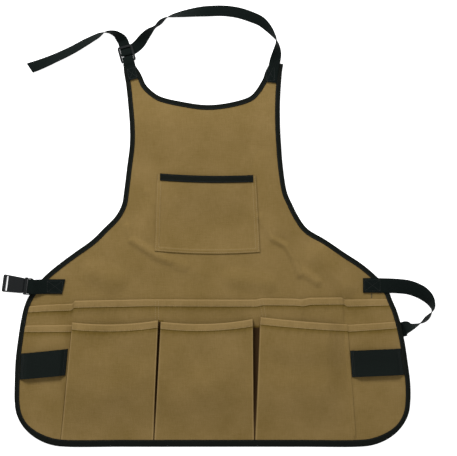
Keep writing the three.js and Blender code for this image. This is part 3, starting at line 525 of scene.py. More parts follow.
@dataclass
class Shape:
    """Vertices, faces and strip coordinates of one piece, gathered from its parts."""

    points: list[np.ndarray]
    faces: list[list[int]]
    strips: list[np.ndarray]
    count: int = 0
    tone: np.ndarray | None = None

    @classmethod
    def empty(cls) -> "Shape":
        """A shape to add parts to."""
        return cls([], [], [])

    @classmethod
    def tube(cls, points: np.ndarray, strip: np.ndarray) -> "Shape":
        """A section carried through stations, closed at both ends.

        Args:
            points: points by station and place in the section.
            strip: the same points' places across and along the woven strip.

        Returns:
            The shape.
        """
        flat = points.reshape(-1, 3)
        return cls([flat], tube_faces(*points.shape[:2]), [strip.reshape(-1, 2)], len(flat))

    def add(
        self, points: np.ndarray, faces: Sequence[Sequence[int]], strip: np.ndarray | None = None
    ) -> None:
        """Adds a part.

        Args:
            points: its points.
            faces: its faces, counted from its own first point.
            strip: its points' places on a woven strip, where it has one.
        """
        flat = np.asarray(points, float).reshape(-1, 3)
        self.points.append(flat)
        self.faces += (np.asarray(faces) + self.count).tolist()
        self.strips.append(flat[:, :2] if strip is None else np.asarray(strip, float).reshape(-1, 2))
        self.count += len(flat)

    def make(self, name: str, material: bpy.types.Material, crease: float = 40) -> bpy.types.Object:
        """Makes the object, with its place in its mesh.

        Args:
            name: its name.
            material: its material.
            crease: the angle in degrees past which an edge is sharp.

        Returns:
            The object.
        """
        mesh = bpy.data.meshes.new(name)
        mesh.from_pydata(np.concatenate(self.points).tolist(), [], self.faces)
        corner = np.empty(len(mesh.loops), np.int32)
        mesh.loops.foreach_get("vertex_index", corner)
        layer = mesh.uv_layers.new(name="strip")
        layer.data.foreach_set("uv", np.concatenate(self.strips)[corner].ravel())
        # The tone attribute carries painted light and shade for the canvas.
        if self.tone is not None:
            mesh.attributes.new("tone", "FLOAT", "POINT").data.foreach_set("value", self.tone.ravel())
        mesh.polygons.foreach_set("use_smooth", np.ones(len(mesh.polygons), bool))
        mesh.set_sharp_from_angle(angle=math.radians(crease))
        mesh.materials.append(material)
        made = bpy.data.objects.new(name, mesh)
        bpy.context.scene.collection.objects.link(made)
        return made


def sheet_faces(rows: int, columns: int) -> np.ndarray:
    """Faces of a lower and an upper grid, closed round the rim.

    Args:
        rows: rows of each grid.
        columns: columns of each grid, along which the points run.

    Returns:
        Four points to a face.
    """
    count = rows * columns
    index = np.arange(count).reshape(rows, columns)
    a, b, c, d = (index[:-1, :-1], index[:-1, 1:], index[1:, 1:], index[1:, :-1])
    under = np.stack([a, d, c, b], axis=-1).reshape(-1, 4)
    over = np.stack([a, b, c, d], axis=-1).reshape(-1, 4) + count
    rim = np.concatenate([index[0], index[1:, -1], index[-1, -2::-1], index[-2:0:-1, 0]])
    after = np.roll(rim, -1)
    wall = np.stack([rim, after, after + count, rim + count], axis=-1)
    return np.concatenate([under, over, wall])


def tube_faces(stations: int, size: int) -> list[list[int]]:
    """Faces of a section carried through stations, with both ends closed.

    Args:
        stations: how many stations.
        size: points of the section.

    Returns:
        The faces, outwards.
    """
    k, i = np.meshgrid(np.arange(stations - 1), np.arange(size), indexing="ij")
    a, b = k * size + i, k * size + (i + 1) % size
    sides = np.stack([a, b, b + size, a + size], axis=-1).reshape(-1, 4).tolist()
    first = list(range(size))[::-1]
    last = [(stations - 1) * size + n for n in range(size)]
    return sides + [first, last]


def spans(*marks: tuple[float, int]) -> np.ndarray:
    """Shares from 0 up, in even steps within each span.

    Args:
        marks: the end and the number of steps of each span.

    Returns:
        The shares.
    """
    start, parts = 0.0, [np.zeros(1)]
    for end, steps in marks:
        parts.append(np.linspace(start, end, steps + 1)[1:])
        start = end
    return np.concatenate(parts)


def level(u: np.ndarray, v: np.ndarray) -> np.ndarray:
    """Nothing, all over a patch."""
    return np.zeros(np.broadcast(u, v).shape)


class Cloth:
    """A sheet of cloth over a patch: its height above the laid layers, and its thickness."""

    def __init__(
        self,
        apron: Apron,
        patch: Patch,
        bottom: float,
        rise: Relief | None = None,
        extra: Relief | None = None,
        thickness: float = CANVAS,
        tone: Relief | None = None,
    ) -> None:
        """Keeps what the sheet is made of.

        Args:
            apron: the outline it belongs to.
            patch: its outline in the plane.
            bottom: height of its underside where all lies flat.
            rise: how far it stands off that, over the patch.
            extra: extra thickness, over the patch.
            thickness: the cloth's thickness.
            tone: painted light above 0 and painted shade below, over the patch.
        """
        self.apron, self.patch, self.bottom, self.thickness = apron, patch, bottom, thickness
        self.rise, self.extra, self.tone = (relief or level for relief in (rise, extra, tone))
        self.bridging = 1 + 0.05 * round((bottom - PANEL_BOTTOM) / LAYER_STEP)

    def lower(self, u: np.ndarray, v: np.ndarray) -> tuple[np.ndarray, np.ndarray]:
        """The underside, on the layers below it.

        Args:
            u: shares across.
            v: shares up.

        Returns:
            Places in the plane, and heights.
        """
        place = self.patch.at(u, v)
        raised = self.bridging * self.apron.lift(place) + self.apron.ripples(place)
        return place, self.apron.floor + self.bottom + raised + self.rise(u, v)

    def top(self, u: np.ndarray, v: np.ndarray) -> np.ndarray:
        """The upper face, a thickness above the underside.

        Args:
            u: shares across.
            v: shares up.

        Returns:
            Points.
        """
        place, height = self.lower(u, v)
        height = height + self.thickness + self.extra(u, v)
        return np.concatenate([place, height[..., None]], axis=-1)

    def shape(self, across: np.ndarray, upward: np.ndarray) -> Shape:
        """The closed sheet: the patch raised to its underside, and again to its upper face.

        Args:
            across: the grid's shares across.
            upward: the grid's shares up.

        Returns:
            The shape, with its tone.
        """
        u, v = np.meshgrid(across, upward)
        place, height = self.lower(u, v)
        under = np.concatenate([place, height[..., None]], axis=-1)
        over = np.concatenate([place, (height + self.thickness + self.extra(u, v))[..., None]], axis=-1)
        shape = Shape.empty()
        shape.add(np.stack([under, over]), sheet_faces(len(upward), len(across)))
        shape.tone = np.stack([np.zeros(u.shape), self.tone(u, v) + np.zeros(u.shape)])
        return shape


class Thread:
    """Rows of sewing thread, gathered into one piece."""

    # A stitch's rings: shares of its length, and of its width.
    RINGS = np.array([(-0.5, 0.4), (-0.33, 1.0), (0.33, 1.0), (0.5, 0.4)])
    SIDES = np.radians([45, 135, 225, 315])

    def __init__(self, width: float = 0.62 * MM, length: float = 2.7 * MM, pitch: float = 3.5 * MM) -> None:
        """Threads a needle: the thread's width, a stitch's length and the stitches' pitch."""
        self.width, self.length, self.pitch = width, length, pitch
        self.shape = Shape.empty()

    def row(self, path: np.ndarray, pitch: float | None = None) -> None:
        """Sews a row: each stitch is four square rings, thick in its middle.

        Args:
            path: points on the cloth.
            pitch: a pitch of its own, for a bar tack.
        """
        pitch = pitch or self.pitch
        gaps = np.linalg.norm(np.diff(path, axis=0), axis=1)
        along = np.concatenate([[0.0], np.cumsum(gaps)])
        count = max(1, int(along[-1] / pitch))
        length = self.length * min(1.0, pitch / self.pitch)
        middles = (np.arange(count) + 0.5) * along[-1] / count

        def at(distance: np.ndarray) -> np.ndarray:
            """Points at distances along the path."""
            return np.stack([np.interp(distance, along, path[:, k]) for k in range(3)], axis=-1)

        a, b = at(middles - length / 2), at(middles + length / 2)
        middle = (a + b) / 2
        way = (b - a) / np.linalg.norm(b - a, axis=1)[:, None]
        side = np.cross(way, UPWARD)
        side /= np.linalg.norm(side, axis=1)[:, None]
        up = np.cross(side, way)
        reach, size = self.RINGS[:, 0] * length, self.RINGS[:, 1] * self.width / 2
        ring = (
            middle[:, None, None]
            + way[:, None, None] * reach[None, :, None, None]
            + side[:, None, None] * (size[:, None] * np.cos(self.SIDES) * 1.2)[None, :, :, None]
            + up[:, None, None] * (size[:, None] * np.sin(self.SIDES))[None, :, :, None]
        )
        one = tube_faces(len(self.RINGS), len(self.SIDES))
        size_each = len(self.RINGS) * len(self.SIDES)
        faces = (np.asarray(one)[None] + (np.arange(count) * size_each)[:, None, None]).reshape(-1, 4)
        self.shape.add(ring, faces)


def edging(apron: Apron, curve: Edge, shares: np.ndarray, leg: np.ndarray, layers: np.ndarray) -> Shape:
    """Tape folded round an edge: a channel with a round fold and two legs, carried along it.

    Args:
        apron: the outline whose folds it follows.
        curve: the edge that it covers.
        shares: shares of the edge's length.
        leg: the legs' width at each share.
        layers: layers of cloth in it over the panel, at each share.

    Returns:
        The shape.
    """
    height = BINDING_TOP + layers * LAYER_STEP
    turn = np.radians(np.linspace(0, 90, 5))
    radius = np.minimum(height / 2, 1.5 * MM)[:, None]
    inner = np.maximum(radius - TAPE, 0.15 * MM)
    low, high = radius * (1 - np.cos(turn)), radius * (1 - np.sin(turn))
    low_fold, high_fold = (np.stack(pair, axis=-1) for pair in ((high, low), (low, height[:, None] - high)))
    low, high = TAPE + inner * (1 - np.cos(turn)), TAPE + inner * (1 - np.sin(turn))
    low_in, high_in = (np.stack(pair, axis=-1) for pair in ((high, low), (low, height[:, None] - high)))

    def end(values: Sequence[tuple[float, float]]) -> np.ndarray:
        """Corners at a leg's end, by their insets and heights."""
        inset, up = (np.array(column) * np.ones((len(shares), 1)) for column in zip(*values))
        return np.stack([leg[:, None] - inset, up], axis=-1)

    tip = 0.25 * MM
    lower_end = end([(0.0, TAPE - tip), (0.0, tip), (tip, 0.0)])
    upper_end = end([(tip, 0.0), (0.0, -tip), (0.0, tip - TAPE), (tip, -TAPE)])
    upper_end[..., 1] += height[:, None]
    last = end([(tip, TAPE)])
    section = np.concatenate(
        [lower_end, low_fold, high_fold, upper_end, high_in[:, ::-1], low_in[:, ::-1], last], axis=1
    )
    point, inward = curve.at(shares), curve.inward(shares)
    middle = curve.at(shares, leg / 2)
    base = apron.floor + apron.lift(middle) + apron.ripples(middle)
    flat = point[:, None] + inward[:, None] * section[..., :1]
    points = np.concatenate([flat, (base[:, None] + section[..., 1])[..., None]], axis=-1)
    gaps = np.linalg.norm(np.diff(section, axis=1), axis=-1)
    across = np.concatenate([np.zeros((len(shares), 1)), np.cumsum(gaps, axis=1)], axis=1)
    along = np.broadcast_to((shares * curve.length)[:, None], across.shape)
    return Shape.tube(points, np.stack([across, along], axis=-1))


def strap(places: np.ndarray, widths: np.ndarray, width: float, thickness: float = WEBBING) -> Shape:
    """A flat strap with round edges: its section carried along its middle line.

    Args:
        places: points of its middle line.
        widths: the way of its width at each.
        width: its width.
        thickness: its thickness.

    Returns:
        The shape.
    """
    tangent = directions(places)
    u = widths - tangent * (widths * tangent).sum(axis=1)[:, None]
    u /= np.linalg.norm(u, axis=1)[:, None]
    v = np.cross(tangent, u)
    turn = np.radians([-90, -45, 0, 45, 90])
    round_off = thickness / 2
    right = np.column_stack([width / 2 - round_off + round_off * np.cos(turn), round_off * np.sin(turn)])
    top = np.column_stack([np.linspace(0.3, -0.3, 4) * width, np.full(4, round_off)])
    half = np.concatenate([right, top])
    section = np.concatenate([half, -half])
    points = places[:, None] + u[:, None] * section[None, :, :1] + v[:, None] * section[None, :, 1:]
    along = np.concatenate([[0.0], np.cumsum(np.linalg.norm(np.diff(places, axis=0), axis=1))])
    strip = np.stack(np.broadcast_arrays(section[None, :, 0], along[:, None]), axis=-1)
    return Shape.tube(points, strip)


class Colour(Enum):
    """Colours as they look in even white light, as sRGB hexadecimal."""

    CANVAS_DARK = 0x645125
    CANVAS_LIGHT = 0x8B744B
    # Painted shade: the canvas colour at the bottom of the deep folds between the front pockets.
    CANVAS_PAINTED_SHADE = 0x3A2A18
    THREAD = 0x8C774E
    TAPE = 0x0D100D
    TAPE_RIB = 0x1A1D19
    WEBBING = 0x080D0C
    WEBBING_LIGHT = 0x161E1C
    ELASTIC = 0x0F1412
    ELASTIC_RIB = 0x1C2220
    PLASTIC = 0x0F1213

    @property
    def linear(self) -> tuple[float, float, float, float]:
        """Linear red, green, blue and alpha."""
        parts = [(self.value >> shift & 255) / 255 for shift in (16, 8, 0)]
        return (*(p / 12.92 if p <= 0.04045 else ((p + 0.055) / 1.055) ** 2.4 for p in parts), 1.0)


class Finish:
    """A material's node tree, with one small way to add a node."""

    def __init__(self, name: str, roughness: float) -> None:
        """Starts a material.

        Args:
            name: its name.
            roughness: its surface's roughness, up to 1 for matt.
        """
        self.material = bpy.data.materials.new(name)
        self.material.use_nodes = True
        self.tree = self.material.node_tree
        self.surface = self.tree.nodes["Principled BSDF"]
        self.surface.inputs["Roughness"].default_value = roughness

    def add(
        self, kind: str, inputs: dict[str | int, object] | None = None, **settings: object
    ) -> bpy.types.Node:
        """Adds a node.

        Args:
            kind: the node's type.
            inputs: values, or sockets to link from, by the input's name or number.
            settings: the node's own settings.

        Returns:
            The node.
        """
        node = self.tree.nodes.new(kind)
        for key, value in settings.items():
            setattr(node, key, value)
        for key, value in (inputs or {}).items():
            self.feed(node.inputs[key], value)
        return node

    def feed(self, socket: bpy.types.NodeSocket, value: object) -> None:
        """Links a socket from another one, or gives it a value.

        Args:
            socket: the socket.
            value: a value, or the socket to link from.
        """
        if isinstance(value, bpy.types.NodeSocket):
            self.tree.links.new(value, socket)
        else:
            socket.default_value = value

    def math(self, operation: str, *values: object) -> bpy.types.NodeSocket:
        """The result of one sum."""
        node = self.add("ShaderNodeMath", dict(enumerate(values)), operation=operation)
        return node.outputs[0]

    def total(self, *terms: tuple[object, float]) -> bpy.types.NodeSocket:
        """The sum of values, each times its weight.

        Args:
            terms: pairs of a value and its weight.

        Returns:
            The sum.
        """
        first, *others = (self.math("MULTIPLY", value, weight) for value, weight in terms)
        for other in others:
            first = self.math("ADD", first, other)
        return first

    def wave(self, value: bpy.types.NodeSocket, pitch: float) -> bpy.types.NodeSocket:
        """A wave from -1 to 1 of this pitch along a coordinate."""
        return self.math("SINE", self.math("MULTIPLY", value, math.tau / pitch))

    def noise(self, vector: bpy.types.NodeSocket, size: float, detail: float = 2.0) -> bpy.types.NodeSocket:
        """Soft noise with spots of about this size."""
        node = self.add("ShaderNodeTexNoise", {"Vector": vector, "Scale": 1 / size, "Detail": detail})
        return node.outputs[0]

    def blend(self, share: object, a: object, b: object) -> bpy.types.NodeSocket:
        """Mixes two colours.

        Args:
            share: how much of the second.
            a: the first.
            b: the second.

        Returns:
            The mixed colour.
        """
        node = self.add("ShaderNodeMix", data_type="RGBA")
        for socket, value in ((node.inputs[0], share), (node.inputs[6], a), (node.inputs[7], b)):
            self.feed(socket, value)
        return node.outputs[2]

    def bump(self, height: bpy.types.NodeSocket, distance: float, strength: float = 1.0) -> None:
        """Fine relief on the surface."""
        node = self.add("ShaderNodeBump", {"Height": height, "Distance": distance, "Strength": strength})
        self.feed(self.surface.inputs["Normal"], node.outputs[0])


@dataclass(frozen=True)
class CottonCanvas:
    """Plain woven cotton canvas: a weave of warp and weft, slubs along both, and patches of wear."""

    # Weaving from uneven yarns gives the eye a matt face with faint streaks both ways, and wear
    # makes soft paler and darker patches. The weave is drawn coarser than the real one, to show.
    name: str = "cotton canvas"
    thread: float = 0.9 * MM
    slub: float = 1.6 * MM
    speck: float = 1.3 * MM
    patch: float = 55 * MM
    streaks: float = 0.55
    patches: float = 0.6
    specks: float = 0.2
    darker: float = 0.17

    def make(self) -> bpy.types.Material:
        """Builds its nodes.

        Returns:
            The material.
        """
        finish = Finish(self.name, 0.9)
        at = finish.add("ShaderNodeTexCoord").outputs["Object"]
        axes = finish.add("ShaderNodeSeparateXYZ", {0: at})
        warp = finish.wave(axes.outputs[0], self.thread)
        weft = finish.wave(axes.outputs[1], self.thread)
        weave = finish.math("MULTIPLY", warp, weft)
        threads = []
        for stretch in ((1.0, 0.12, 1.0), (0.12, 1.0, 1.0)):
            run = finish.add("ShaderNodeVectorMath", {0: at, 1: stretch}, operation="MULTIPLY").outputs[0]
            threads.append(finish.noise(run, self.slub, 1.0))
        slub = finish.math("MULTIPLY", finish.math("ADD", *threads), 0.5)
        grain = finish.noise(at, self.speck, 3.0)
        broad = finish.noise(at, self.patch, 2.0)
        # The tone attribute is painted light and shade: painted highlights on hems and fold edges, painted
        # shade in the steps under hems and at the bottom of the deep folds between the front pockets.
        painted_light_and_shade = finish.add("ShaderNodeAttribute", attribute_name="tone").outputs["Fac"]
        tone = finish.total((slub, self.streaks), (broad, self.patches), (grain, self.specks))
        share = finish.math("ADD", finish.math("SUBTRACT", tone, self.darker), painted_light_and_shade)
        colour = finish.blend(share, Colour.CANVAS_DARK.linear, Colour.CANVAS_LIGHT.linear)
        # Tones below -1 blend into the painted shade colour, at the bottom of the deep folds between the
        # front pockets.
        deep = finish.math("SUBTRACT", -1.0, painted_light_and_shade)
        colour = finish.blend(deep, colour, Colour.CANVAS_PAINTED_SHADE.linear)
        finish.feed(finish.surface.inputs["Base Color"], colour)
        finish.feed(finish.surface.inputs["Specular IOR Level"], 0.06)
        finish.bump(finish.total((weave, 0.35), (slub, 1.6)), 0.16 * MM)
        return finish.material


@dataclass(frozen=True)
class WovenStrip:
    """Tape, webbing or elastic woven narrow: ribs across it and wales along it, both measured on
    the strip itself, so that they follow its turns."""

    # Close weaving from dull yarns gives the eye a matt strip with a fine even grid.
    name: str
    dark: Colour
    light: Colour
    rib: float
    wale: float
    roughness: float = 0.75
    grain: float = 1.6 * MM
    ridges: float = 0.22
    specks: float = 0.9
    darker: float = 0.12

    def make(self) -> bpy.types.Material:
        """Builds its nodes.

        Returns:
            The material.
        """
        finish = Finish(self.name, self.roughness)
        strip = finish.add("ShaderNodeUVMap", uv_map="strip").outputs[0]
        axes = finish.add("ShaderNodeSeparateXYZ", {0: strip})
        ribs = finish.wave(axes.outputs[1], self.rib)
        wales = finish.wave(axes.outputs[0], self.wale)
        weave = finish.math("MULTIPLY", ribs, wales)
        grain = finish.noise(strip, self.grain)
        height = finish.total((weave, 0.5), (ribs, 0.5))
        tone = finish.total((height, self.ridges), (grain, self.specks))
        share = finish.math("SUBTRACT", tone, self.darker)
        colour = finish.blend(share, self.dark.linear, self.light.linear)
        finish.feed(finish.surface.inputs["Base Color"], colour)
        finish.feed(finish.surface.inputs["Specular IOR Level"], 0.05)
        finish.bump(finish.math("ADD", height, grain), 0.2 * MM)
        return finish.material


@dataclass(frozen=True)
class MouldedPlastic:
    """Black acetal, injection moulded, with the mould's grain as bump."""

    # Moulding gives the eye half gloss, broken by the mould's faint grain.
    name: str = "moulded acetal"

    def make(self) -> bpy.types.Material:
        """Builds its nodes.

        Returns:
            The material.
        """
        finish = Finish(self.name, 0.5)
        at = finish.add("ShaderNodeTexCoord").outputs["Object"]
        finish.feed(finish.surface.inputs["Base Color"], Colour.PLASTIC.linear)
        finish.feed(finish.surface.inputs["Specular IOR Level"], 0.22)
        finish.bump(finish.noise(at, 0.7 * MM, 3.0), 0.03 * MM)
        return finish.material


@dataclass(frozen=True)
class SewingThread:
    """Spun polyester thread in one colour, with its fuzz as bump."""

    # Spinning gives the eye a dull thread with soft edges.
    name: str
    colour: Colour

    def make(self) -> bpy.types.Material:
        """Builds its nodes.

        Returns:
            The material.
        """
        finish = Finish(self.name, 0.7)
        at = finish.add("ShaderNodeTexCoord").outputs["Object"]
        finish.feed(finish.surface.inputs["Base Color"], self.colour.linear)
        finish.bump(finish.noise(at, 0.35 * MM, 1.0), 0.05 * MM)
        return finish.material


@dataclass(frozen=True)
class WhiteTable:
    """A painted table: white, with a little light of its own."""

    # Flat paint under even light gives the eye plain white with no gloss and no horizon.
    name: str = "white table"

    def make(self) -> bpy.types.Material:
        """Builds its nodes.

        Returns:
            The material.
        """
        finish = Finish(self.name, 0.9)
        finish.feed(finish.surface.inputs["Base Color"], (0.9, 0.9, 0.9, 1.0))
        finish.feed(finish.surface.inputs["Specular IOR Level"], 0.0)
        finish.feed(finish.surface.inputs["Emission Color"], (1.0, 1.0, 1.0, 1.0))
        finish.feed(finish.surface.inputs["Emission Strength"], 0.8)
        return finish.material


@dataclass(frozen=True)
class PocketPlan:
    """A front pocket's outline: its sides as shares of half the skirt, at the mouth and at the
    foot, and its mouth's height at the left, in the middle and at the right, as shares of the
    pockets' height. A pocket that laps lies over the side pocket beside it."""

    node: str
    mouth: tuple[float, float]
    foot: tuple[float, float]
    rises: tuple[float, float, float]
    laps: bool = False


FRONT_POCKETS = (
    PocketPlan("pocket_left", (-0.708, -0.272), (-0.77, -0.299), (0.994, 0.979, 1.01)),
    PocketPlan("pocket_centre", (-0.262, 0.205), (-0.294, 0.212), (1.0, 0.983, 1.021)),
    PocketPlan("pocket_right", (0.24, 0.681), (0.216, 0.729), (1.036, 1.002, 0.978), laps=True),
)

# Side pockets: the mouth's height at the left, in the middle and at the right, in the same shares.
SIDE_RISE = {-1: (0.968, 0.965, 0.972), 1: (0.972, 0.985, 1.002)}

# Neck strap: share of the way between the shoulders, rise as a share of the loop's rise,
# whether it lies on the binding, and its twist in degrees.
NECK_ROUTE = np.array([
    (0.966, -0.313, 1, 0), (0.976, -0.136, 1, 0), (0.99, 0.04, 1, 4), (1.003, 0.2, 0.5, 38),
    (1.003, 0.387, 0, 88), (0.975, 0.51, 0, 112), (0.944, 0.61, 0, 130), (0.895, 0.724, 0, 150),
    (0.833, 0.797, 0, 164), (0.742, 0.872, 0, 175), (0.643, 0.906, 0, 180), (0.537, 0.9, 0, 183),
    (0.463, 0.882, 0, 205), (0.374, 0.848, 0, 228), (0.299, 0.813, 0, 248), (0.254, 0.78, 0, 270),
    (0.214, 0.705, 0, 292), (0.181, 0.63, 0, 270), (0.143, 0.556, 0, 302), (0.104, 0.45, 0, 328),
    (0.071, 0.345, 0, 356), (0.036, 0.27, 0, 360), (-0.004, 0.225, 0, 360), (-0.04, 0.205, 0, 360),
])

# Tail of the neck strap: out and up as shares of its reach from the buckle, and its twist.
TAIL_ROUTE = np.array([
    (0.023, 0.064, 8), (0.073, 0.119, 52), (0.135, 0.145, 74), (0.197, 0.147, 92),
    (0.27, 0.113, 122), (0.415, 0.036, 138), (0.539, -0.034, 143), (0.737, -0.127, 150),
    (0.871, -0.181, 166), (1.0, -0.225, 180),
])

# Right waist strap: out and up as shares of its reach from the skirt's edge, whether it
# lies on the binding, and its twist.
WAIST_ROUTE = np.array([
    (-0.42, 0, 1, 0), (-0.15, 0, 1, 0), (0.07, -0.005, 1, 0), (0.24, -0.015, 0.3, 5),
    (0.42, -0.04, 0, 12), (0.64, -0.13, 0, 24), (0.775, -0.25, 0, 52), (0.83, -0.385, 0, 78),
    (0.826, -0.445, 0, 90), (0.765, -0.545, 0, 112), (0.69, -0.62, 0, 112),
    (0.595, -0.682, 0, 92), (0.51, -0.722, 0, 78), (0.425, -0.755, 0, 62), (0.35, -0.775, 0, 27),
])


def half_height(turn: np.ndarray, width: float) -> np.ndarray:
    """How far down a strap reaches from its middle: half its width on edge, or half its thickness
    when flat."""
    return np.abs(np.sin(turn)) * width / 2 + np.abs(np.cos(turn)) * WEBBING / 2


def laid_strap(
    apron: Apron, route: np.ndarray, width: float, steps: int = 10
) -> tuple[np.ndarray, np.ndarray]:
    """A strap that lies on what is under it, flat or turned on edge.

    Args:
        apron: the outline, for the floor.
        route: rows of x, y, height of what is under it, and twist in degrees.
        width: its width.
        steps: places to each row.

    Returns:
        Points of its middle line, and the way of its width at each.
    """
    path = centripetal(route[:, :2], steps)
    row = np.arange(len(path)) / steps
    window = np.ones(steps) / steps
    half = steps // 2
    columns = [np.pad(np.interp(row, np.arange(len(route)), route[:, k]), half, "edge") for k in (2, 3)]
    on, twist = (np.convolve(column, window, "same")[half : half + len(path)] for column in columns)
    turn = np.radians(twist)
    tangent = directions(path)
    places = np.column_stack([path, apron.floor + on + half_height(turn, width)])
    widths = np.column_stack([-tangent[:, 1] * np.cos(turn), tangent[:, 0] * np.cos(turn), np.sin(turn)])
    return places, widths


@dataclass(frozen=True)
class Bar:
    """A bar of plastic that webbing turns round, in its own axes: along v, up z."""

    origin: np.ndarray
    along: np.ndarray
    up: np.ndarray
    thickness: float = 1.75 * MM
    width: float = 3.5 * MM

    @property
    def bottom(self) -> float:
        """Height of its underside."""
        return 2 * WEBBING + 1.6 * GAP

    @property
    def top(self) -> float:
        """Height of its top."""
        return self.bottom + self.thickness

    @property
    def over(self) -> float:
        """Height of the middle of webbing that lies on the bar."""
        return self.top + GAP + WEBBING / 2

    @property
    def under(self) -> float:
        """Height of the middle of webbing that runs under the bar."""
        return self.bottom - GAP - WEBBING / 2

    def place(self, v: float, z: float) -> np.ndarray:
        """The point at a distance along and a height above the origin."""
        return self.origin + self.along * v + self.up * z

    def turn(self, v: float, side: int, slack: float = 0.0) -> list[np.ndarray]:
        """Half a turn of webbing round the bar, on half an ellipse from below to above.

        Args:
            v: the bar's middle, along.
            side: 1 for its far side, -1 for its near one.
            slack: how far the webbing stands off that side.

        Returns:
            Points of the webbing's middle line.
        """
        middle = (self.bottom + self.top) / 2
        wrap = self.width / 2 + GAP + WEBBING / 2
        reach = wrap - self.width / 2 + 0.6 * MM + slack
        return [
            self.place(
                v + side * (self.width / 2 - 0.6 * MM + math.cos(angle) * reach),
                middle + math.sin(angle) * (self.over - middle),
            )
            for angle in np.radians(np.linspace(-90, 90, 13))
        ]


def finishes() -> dict[str, bpy.types.Material]:
    """The apron's materials.

    Returns:
        A material for each slot of the record.
    """
    return {
        "canvas": CottonCanvas().make(),
        "binding_tape": WovenStrip("woven tape", Colour.TAPE, Colour.TAPE_RIB, 1.4 * MM, 1.1 * MM).make(),
        "webbing": WovenStrip(
            "polypropylene webbing", Colour.WEBBING, Colour.WEBBING_LIGHT, 2.0 * MM, 1.5 * MM, 0.8
        ).make(),
        "elastic": WovenStrip(
            "ribbed elastic", Colour.ELASTIC, Colour.ELASTIC_RIB, 1.5 * MM, 2.2 * MM
        ).make(),
        "buckle_plastic": MouldedPlastic().make(),
    }


@dataclass
class Workshop:
    """What the sub-assemblies share: the outline, the finishes, the threads and the panel."""

    apron: Apron
    materials: dict[str, bpy.types.Material] = field(default_factory=finishes)
    canvas_thread: Thread = field(default_factory=Thread)
    dark_thread: Thread = field(default_factory=lambda: Thread(0.5 * MM, 2.6 * MM, 3.3 * MM))
    body: bpy.types.Object | None = None

    def finish(self, shape: Shape, name: str, slot: str, *nodes: str) -> bpy.types.Object:
        """Makes an object, hangs it on the root body and hides the CAD nodes that it replaces.

        Args:
            shape: its vertices and faces.
            name: its name in the scene.
            slot: its material slot.
            nodes: the CAD nodes that it replaces.

        Returns:
            The finished object.
        """
        made = shape.make(name, self.materials[slot])
        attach(made, "root")
        if nodes:
            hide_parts(*nodes)
        log.info("%s of %s, %d vertices", name, slot, len(made.data.vertices))
        return made

    def canvas(self, shape: Shape, node: str, flat: tuple[float, float], area: float) -> bpy.types.Object:
        """Makes a cut of canvas, laid on what is under it.

        Args:
            shape: its vertices and faces.
            node: the CAD node that it stands for.
            flat: width and length of the cut laid flat; not used.
            area: the cut's own area; not used.

        Returns:
            The finished object.
        """
        made = self.finish(shape, f"cloth_{node}", "canvas", node)
        return made

    def hem_stitches(self, cloth: Cloth, depth: float, span: tuple[float, float]) -> None:
        """Sews a row of stitches along a turned mouth.

        Args:
            cloth: the pocket.
            depth: the pocket's height.
            span: the row's ends as shares of the mouth.
        """
        u = np.linspace(*span, 400)
        self.canvas_thread.row(cloth.top(u, np.full(400, 1 - HEM_STITCH / depth)))

    def box_stitches(self, start: np.ndarray, degrees: float, length: float, width: float) -> None:
        """Sews a box with a cross on webbing that lies on the binding.

        Args:
            start: the middle of the box's first side.
            degrees: the way of its length, from +X.
            length: its length.
            width: its width.
        """
        way = np.array((math.cos(math.radians(degrees)), math.sin(math.radians(degrees))))
        side = np.array((-way[1], way[0])) * width / 2
        a, b = start - side, start + side
        c, d = b + way * length, a + way * length
        height = self.apron.floor + ON_BINDING + WEBBING + 0.05 * MM
        for path in ((a, b, c, d, a), (a, c), (b, d)):
            self.dark_thread.row(np.array([(*point, height) for point in path]), 2.9 * MM)


@dataclass
class SubAssembly:
    """A part of the apron that is made as one."""

    shop: Workshop

    @property
    def apron(self) -> Apron:
        """The apron's outline."""
        return self.shop.apron

    @property
    def edge(self) -> Edge:
        """The apron's outer edge."""
        return self.shop.apron.edge

    def seam(self, side: int) -> tuple[float, float]:
        """The seam between a side pocket and its front pocket.

        Args:
            side: -1 for the left and 1 for the right.

        Returns:
            X of the seam at the mouth and at the foot.
        """
        plan = FRONT_POCKETS[0 if side < 0 else -1]
        index, gap = (0, SEAM_GAP) if side < 0 else (1, -SEAM_LAP)
        return tuple(float(self.apron.x(ends[index])) + side * gap for ends in (plan.mouth, plan.foot))


@dataclass
class BodyPanel(SubAssembly):
    """The body panel: one cut of canvas from the shoulders to the hem."""

    area: float = 0.281
    shoulder: float = 0.07

    def top(self, u: np.ndarray) -> np.ndarray:
        """The upper boundary: one shoulder, the neckline and the other shoulder.

        Args:
            u: shares from left to right, of which each shoulder takes its own share.

        Returns:
            Places in the plane.
        """
        neck, share = self.apron.neck, self.shoulder
        line = neck.at((u - share) / (1 - 2 * share), EDGE_INSET)
        for end, run in ((0, u), (1, 1 - u)):
            outer, inner = self.edge.at(end, EDGE_INSET), neck.at(end, EDGE_INSET)
            part = (run / share)[..., None]
            line = np.where(part < 1, outer + (inner - outer) * part, line)
        return line

    def make(self) -> None:
        """Makes the panel, which the pockets then lie on."""
        apron, share = self.apron, self.shoulder
        left, right = apron.left_corner, apron.right_corner
        patch = Patch(
            self.edge.inset_line(left, 0), self.edge.inset_line(right, 1),
            self.edge.inset_line(left, right), self.top,
        )
        cloth = Cloth(apron, patch, PANEL_BOTTOM)
        shape = cloth.shape(spans((share, 12), (1 - share, 170), (1, 12)), spans((1, 175)))
        self.shop.body = self.shop.canvas(shape, "body_panel", (2 * apron.half, apron.height), self.area)


